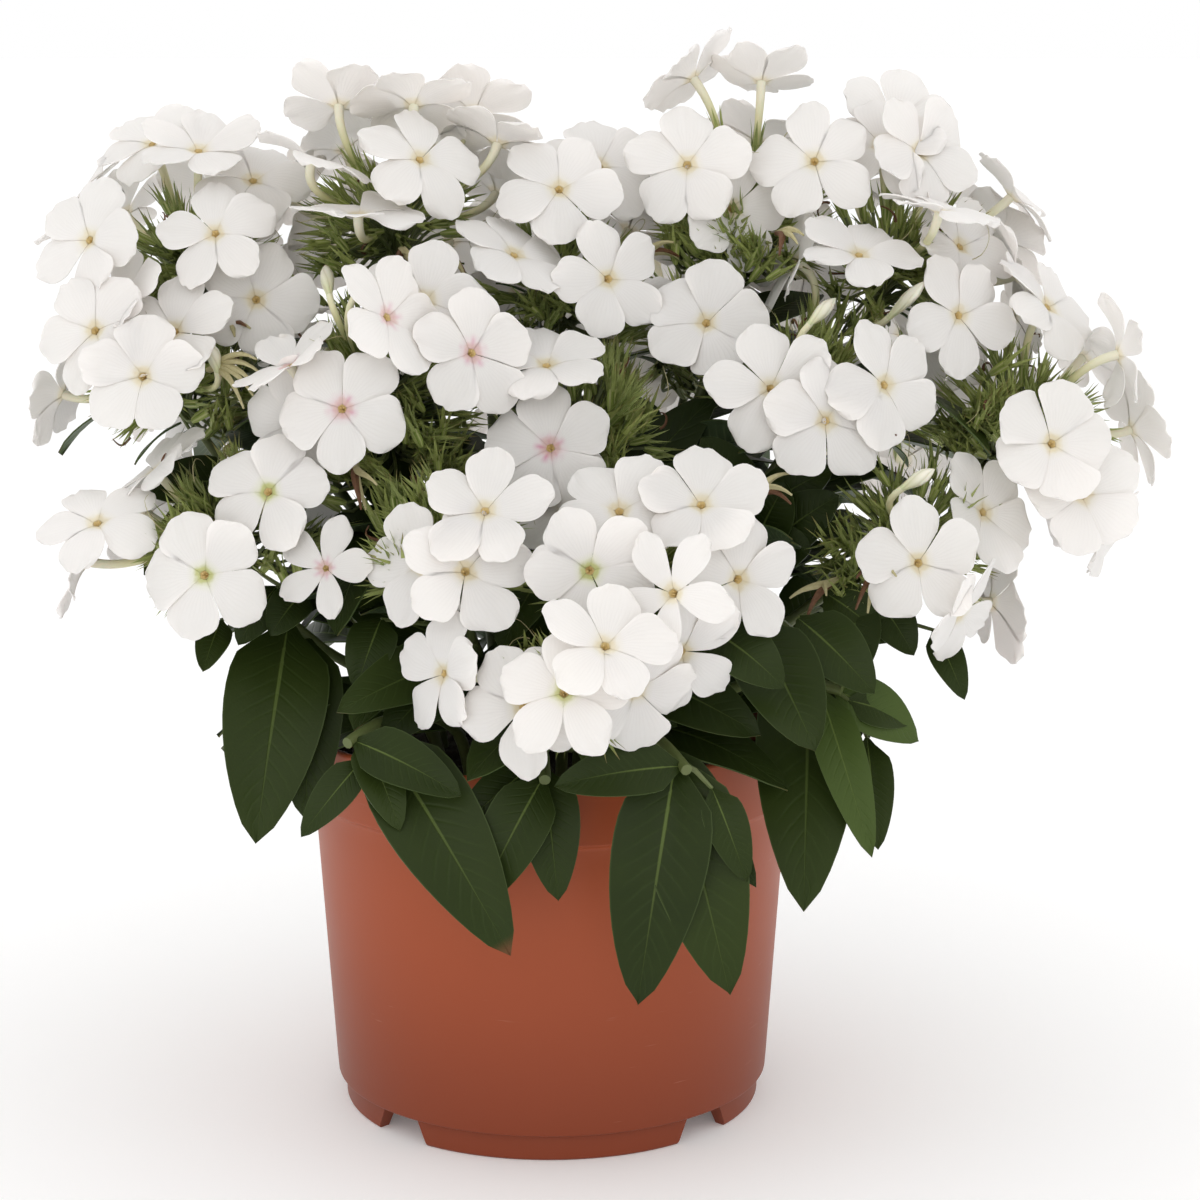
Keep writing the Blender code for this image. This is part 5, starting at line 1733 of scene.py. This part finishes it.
def tube_surface():
    made = Surface("tube_skin", Roughness=0.45, Specular_IOR_Level=0.35,
                   Subsurface_Weight=0.1, Subsurface_Scale=0.002)
    v = made.blade()[1]
    grain = made.noise(600.0)
    colour = made.mix(v.step(0.0, 0.7), (0.80, 0.78, 0.64), (0.66, 0.64, 0.36))
    colour = made.mix(v.step(0.5, 1.0), colour, (0.42, 0.46, 0.16))
    colour = made.mix(grain * 0.3, colour, (0.70, 0.66, 0.44))
    return made.finish(colour, grain, 0.15, 0.0002)


def bud_surface():
    made = Surface("bud_skin", Roughness=0.45, Subsurface_Weight=0.1, Subsurface_Scale=0.002)
    u, v, seed, kind, under = made.blade()
    fold = ((u * 31.4 + v * 9.0) * 0.5).wave() ** 0.4
    colour = made.mix(v.step(0.3, 1.0), (0.80, 0.78, 0.66), (0.62, 0.64, 0.36))
    # Painted shade: the colour darkens along the creases between the furled petals.
    colour = made.mix((1.0 - fold) * 0.6, colour, (0.48, 0.46, 0.26))
    return made.finish(colour, fold, 0.5, 0.0004)


def calyx_surface():
    made = Surface("calyx_skin", Roughness=0.5, Specular_IOR_Level=0.35)
    u, v, seed, kind, under = made.blade()
    rib = (u * 15.708).wave()
    colour = made.mix(seed, (0.115, 0.185, 0.026), (0.290, 0.360, 0.070))
    colour = made.mix(rib.step(0.75, 1.0, 0.0, 0.75), colour, (0.56, 0.56, 0.28))
    spent = made.math("FRACT", seed * 7.3).step(0.55, 0.75)
    colour = made.mix(v.step(0.72, 1.0) * (spent * 0.8), colour, (0.20, 0.095, 0.045))
    colour = made.mix(v.step(0.5, 0.0, 0.0, 0.4), colour, (0.27, 0.34, 0.09))
    colour = made.mix(made.noise(700.0) * 0.3, colour, (0.33, 0.36, 0.12))
    return made.finish(colour, rib, 0.4, 0.0003)


def leaf_surface():
    made = Surface("leaf_skin", Roughness=0.45, Specular_IOR_Level=0.13)
    u, v, seed, kind, under = made.blade()
    side = abs(u)
    cloud = made.noise(60.0, 4.0)
    grain = made.noise(1400.0, 2.0)
    colour = made.mix(seed, (0.011, 0.019, 0.0035), (0.023, 0.036, 0.0065))
    colour = made.mix(cloud * 0.5, colour, (0.033, 0.051, 0.008))
    colour = made.mix(kind.near(1.0) * 0.7, colour, (0.075, 0.115, 0.026))
    slant = v - side * 0.17 + cloud * 0.05
    vein = (slant * 44.0).wave() ** 18.0 * side.step(0.95, 0.3)
    colour = made.mix(vein * 0.07, colour, (0.075, 0.12, 0.03))
    midrib = (side / (1.25 - v)).step(0.055, 0.02)
    colour = made.mix(midrib * v.step(0.9, 0.1, 0.12, 0.5), colour, (0.17, 0.23, 0.06))
    colour = made.mix(side.step(0.96, 1.0, 0.0, 0.35), colour, (0.10, 0.14, 0.05))
    ribs = made.math("ADD", vein, midrib, clamp=True)
    pale = made.mix(ribs, (0.085, 0.125, 0.060), (0.15, 0.20, 0.10))
    colour = made.mix(under, colour, pale)
    colour = made.mix(v.step(0.93, 0.99) * kind.near(2.0), colour, (0.13, 0.06, 0.025))
    relief = grain * 0.25 - (midrib + vein * 0.6)
    return made.finish(colour, relief, 0.5, 0.0003, Roughness=cloud * 0.2 + 0.33)


def stem_surface():
    made = Surface("stem_skin", Roughness=0.5)
    grain = made.noise(500.0)
    colour = made.mix(made.noise(90.0), (0.060, 0.105, 0.022), (0.150, 0.185, 0.060))
    colour = made.mix(grain * 0.35, colour, (0.10, 0.06, 0.03))
    return made.finish(colour, grain, 0.3)


def grainy_surface(name, roughness, scale, one, two, strength):
    """Two colours in fine grains."""
    made = Surface(name, Roughness=roughness)
    grain = made.noise(scale)
    return made.finish(made.mix(grain, one, two), grain, strength)


def pot_surface():
    made = Surface("pot_plastic", Roughness=0.42, Specular_IOR_Level=0.3)
    cloud = made.noise(16.0, 5.0)
    colour = made.mix(cloud, (0.325, 0.063, 0.0185), (0.350, 0.072, 0.0225))
    # Painted shade: the pot's colour grows darker towards its foot, where less light falls.
    height = made.make("SeparateXYZ", {}, {0: made.place()}, 2)
    colour = made.mix(height.step(0.085, 0.0, 0.0, 0.7), colour, (0.148, 0.025, 0.0075))
    flat = {"Vector": made.place(), "Scale": (60.0, 60.0, 900.0)}
    scuff = made.noise(1.0, 3.0, made.make("Mapping", {}, flat)).step(0.66, 0.74)
    scuff = scuff * made.noise(35.0, 2.0).step(0.52, 0.66) * 0.25
    colour = made.mix(scuff, colour, (0.55, 0.30, 0.22))
    return made.finish(colour, made.noise(900.0, 2.0), 0.06, 0.0002,
                       Roughness=cloud * 0.16 + 0.36)


def soil_surface():
    made = Surface("peat", Roughness=0.9)
    coarse = made.noise(180.0, 6.0)
    fine = made.noise(900.0, 4.0)
    colour = made.mix(coarse, (0.012, 0.008, 0.005), (0.060, 0.038, 0.022))
    colour = made.mix(fine.step(0.62, 0.72), colour, (0.12, 0.08, 0.05))
    return made.finish(colour, coarse + fine, 0.9, 0.0015)


def floor_surface():
    made = Surface("studio_floor", Roughness=0.7, Specular_IOR_Level=0.1,
                   Emission_Color=(1.0, 1.0, 1.0), Emission_Strength=0.10)
    colour = made.mix(made.noise(2.0, 3.0), (0.955, 0.955, 0.955), (0.965, 0.965, 0.965))
    return made.finish(colour, made.noise(400.0, 2.0), 0.02, 0.0002)


def build_head(head, greens, florets, low_florets, bloom_skins, green_skins):
    """The flowers of a head, and the green and dry pieces between them."""
    draw = random.Random(head.name)
    blooms = Patch()
    for number, found in enumerate(florets):
        mark = (head.name, number)
        fine_floret(blooms, greens, head, found, draw, EYES.get(mark, 0),
                    SHAPES.get(mark, PLAIN_SHAPE))
    for found in low_florets:
        fine_floret(blooms, greens, head, found, draw)
    for tip, base in BUDS.get(head.name, ()):
        bud(blooms, greens, head, head.dome(*tip), head.dome(*base, BUD_REACH), draw)
    spent_calyces(greens, head, [found[:2] for found in florets + low_florets], draw)
    bracts(greens, head, draw)
    for scrap in SCRAPS:
        curly(greens, head, draw, *scrap)
    wilted(greens, head, draw)
    stalk = [head.start, head.start.lerp(head.centre, 0.5), head.centre,
             head.centre + head.axis * STALK_PAST]
    greens.add_rod(stalk, STALK_RADII, FINE_STALK_SIDES, 1, draw.random())
    make_piece("florets_" + head.name, blooms, bloom_skins, "head_" + head.name)
    make_piece("calyces_" + head.name, greens, green_skins)


def build_plant():
    paths, florets, low_florets, leaves = plan_plant()
    bloom_skins = (petal_surface(), tube_surface(),
                   grainy_surface("throat", 0.6, 900.0, *THROAT_COLOURS, 0.2),
                   grainy_surface("anthers", 0.6, 2500.0, *ANTHER_COLOURS, 0.4), bud_surface())
    leaf_skin = leaf_surface()
    stem_skin = stem_surface()
    green_skins = (calyx_surface(), stem_skin, leaf_skin,
                   grainy_surface("withered", 0.65, 1200.0, *WITHERED_COLOURS, 0.5),
                   grainy_surface("straw", 0.65, 1200.0, *STRAW_COLOURS, 0.5))
    green_patches = {name: Patch() for name in heads}
    calyx_fans(green_patches)
    for name, head in heads.items():
        build_head(head, green_patches[name], florets[name], low_florets[name], bloom_skins,
                   green_skins)
    for node, path in paths.items():
        draw = random.Random(node)
        patch = Patch()
        for number, found in enumerate(leaves[node]):
            kind = LEAF_KINDS.get((node, number), LEAF_KINDS.get(node, 0.0))
            fine_leaf(patch, found, draw, kind)
        small_leaves(patch, node, path, draw)
        fine_stem(patch, path, leaves[node], draw)
        make_piece("fine_" + node, patch, (leaf_skin, stem_skin), node)


def build_studio():
    mesh = bpy.data.meshes.new("floor")
    half = FLOOR_HALF_SIZE
    mesh.from_pydata([(-half, -half, 0.0), (half, -half, 0.0), (half, half, 0.0),
                      (-half, half, 0.0)], [], [(0, 1, 2, 3)])
    mesh.materials.append(floor_surface())
    floor = new_object("floor", mesh)
    world = bpy.data.worlds.new("studio")
    world.use_nodes = True
    background = world.node_tree.nodes["Background"]
    background.inputs["Color"].default_value = (1.0, 1.0, 1.0, 1.0)
    background.inputs["Strength"].default_value = WORLD_STRENGTH
    scene = bpy.context.scene
    scene.world = world
    for name, place, aim, size, power, colour in LIGHTS:
        data = bpy.data.lights.new(name, "AREA")
        data.shape = "RECTANGLE"
        data.size, data.size_y = size
        data.energy = power
        data.color = colour
        light = new_object(name, data)
        light.location = place
        way = Vector(aim) - Vector(place)
        light.rotation_euler = way.to_track_quat("-Z", "Y").to_euler()
    data = bpy.data.cameras.new("camera")
    data.sensor_width = CAMERA_SENSOR
    data.lens = CAMERA_LENS
    data.clip_start, data.clip_end = CAMERA_CLIP
    camera = new_object("camera", data)
    camera.location = VIEWER + MIDDLE
    camera.rotation_euler = CAMERA_TURN
    scene.camera = camera
    scene.view_settings.view_transform = "Standard"
    scene.view_settings.look = "None"
    scene.view_settings.exposure = 0.0


fine_pot(pot_surface())
fine_soil(soil_surface())
build_plant()
build_studio()
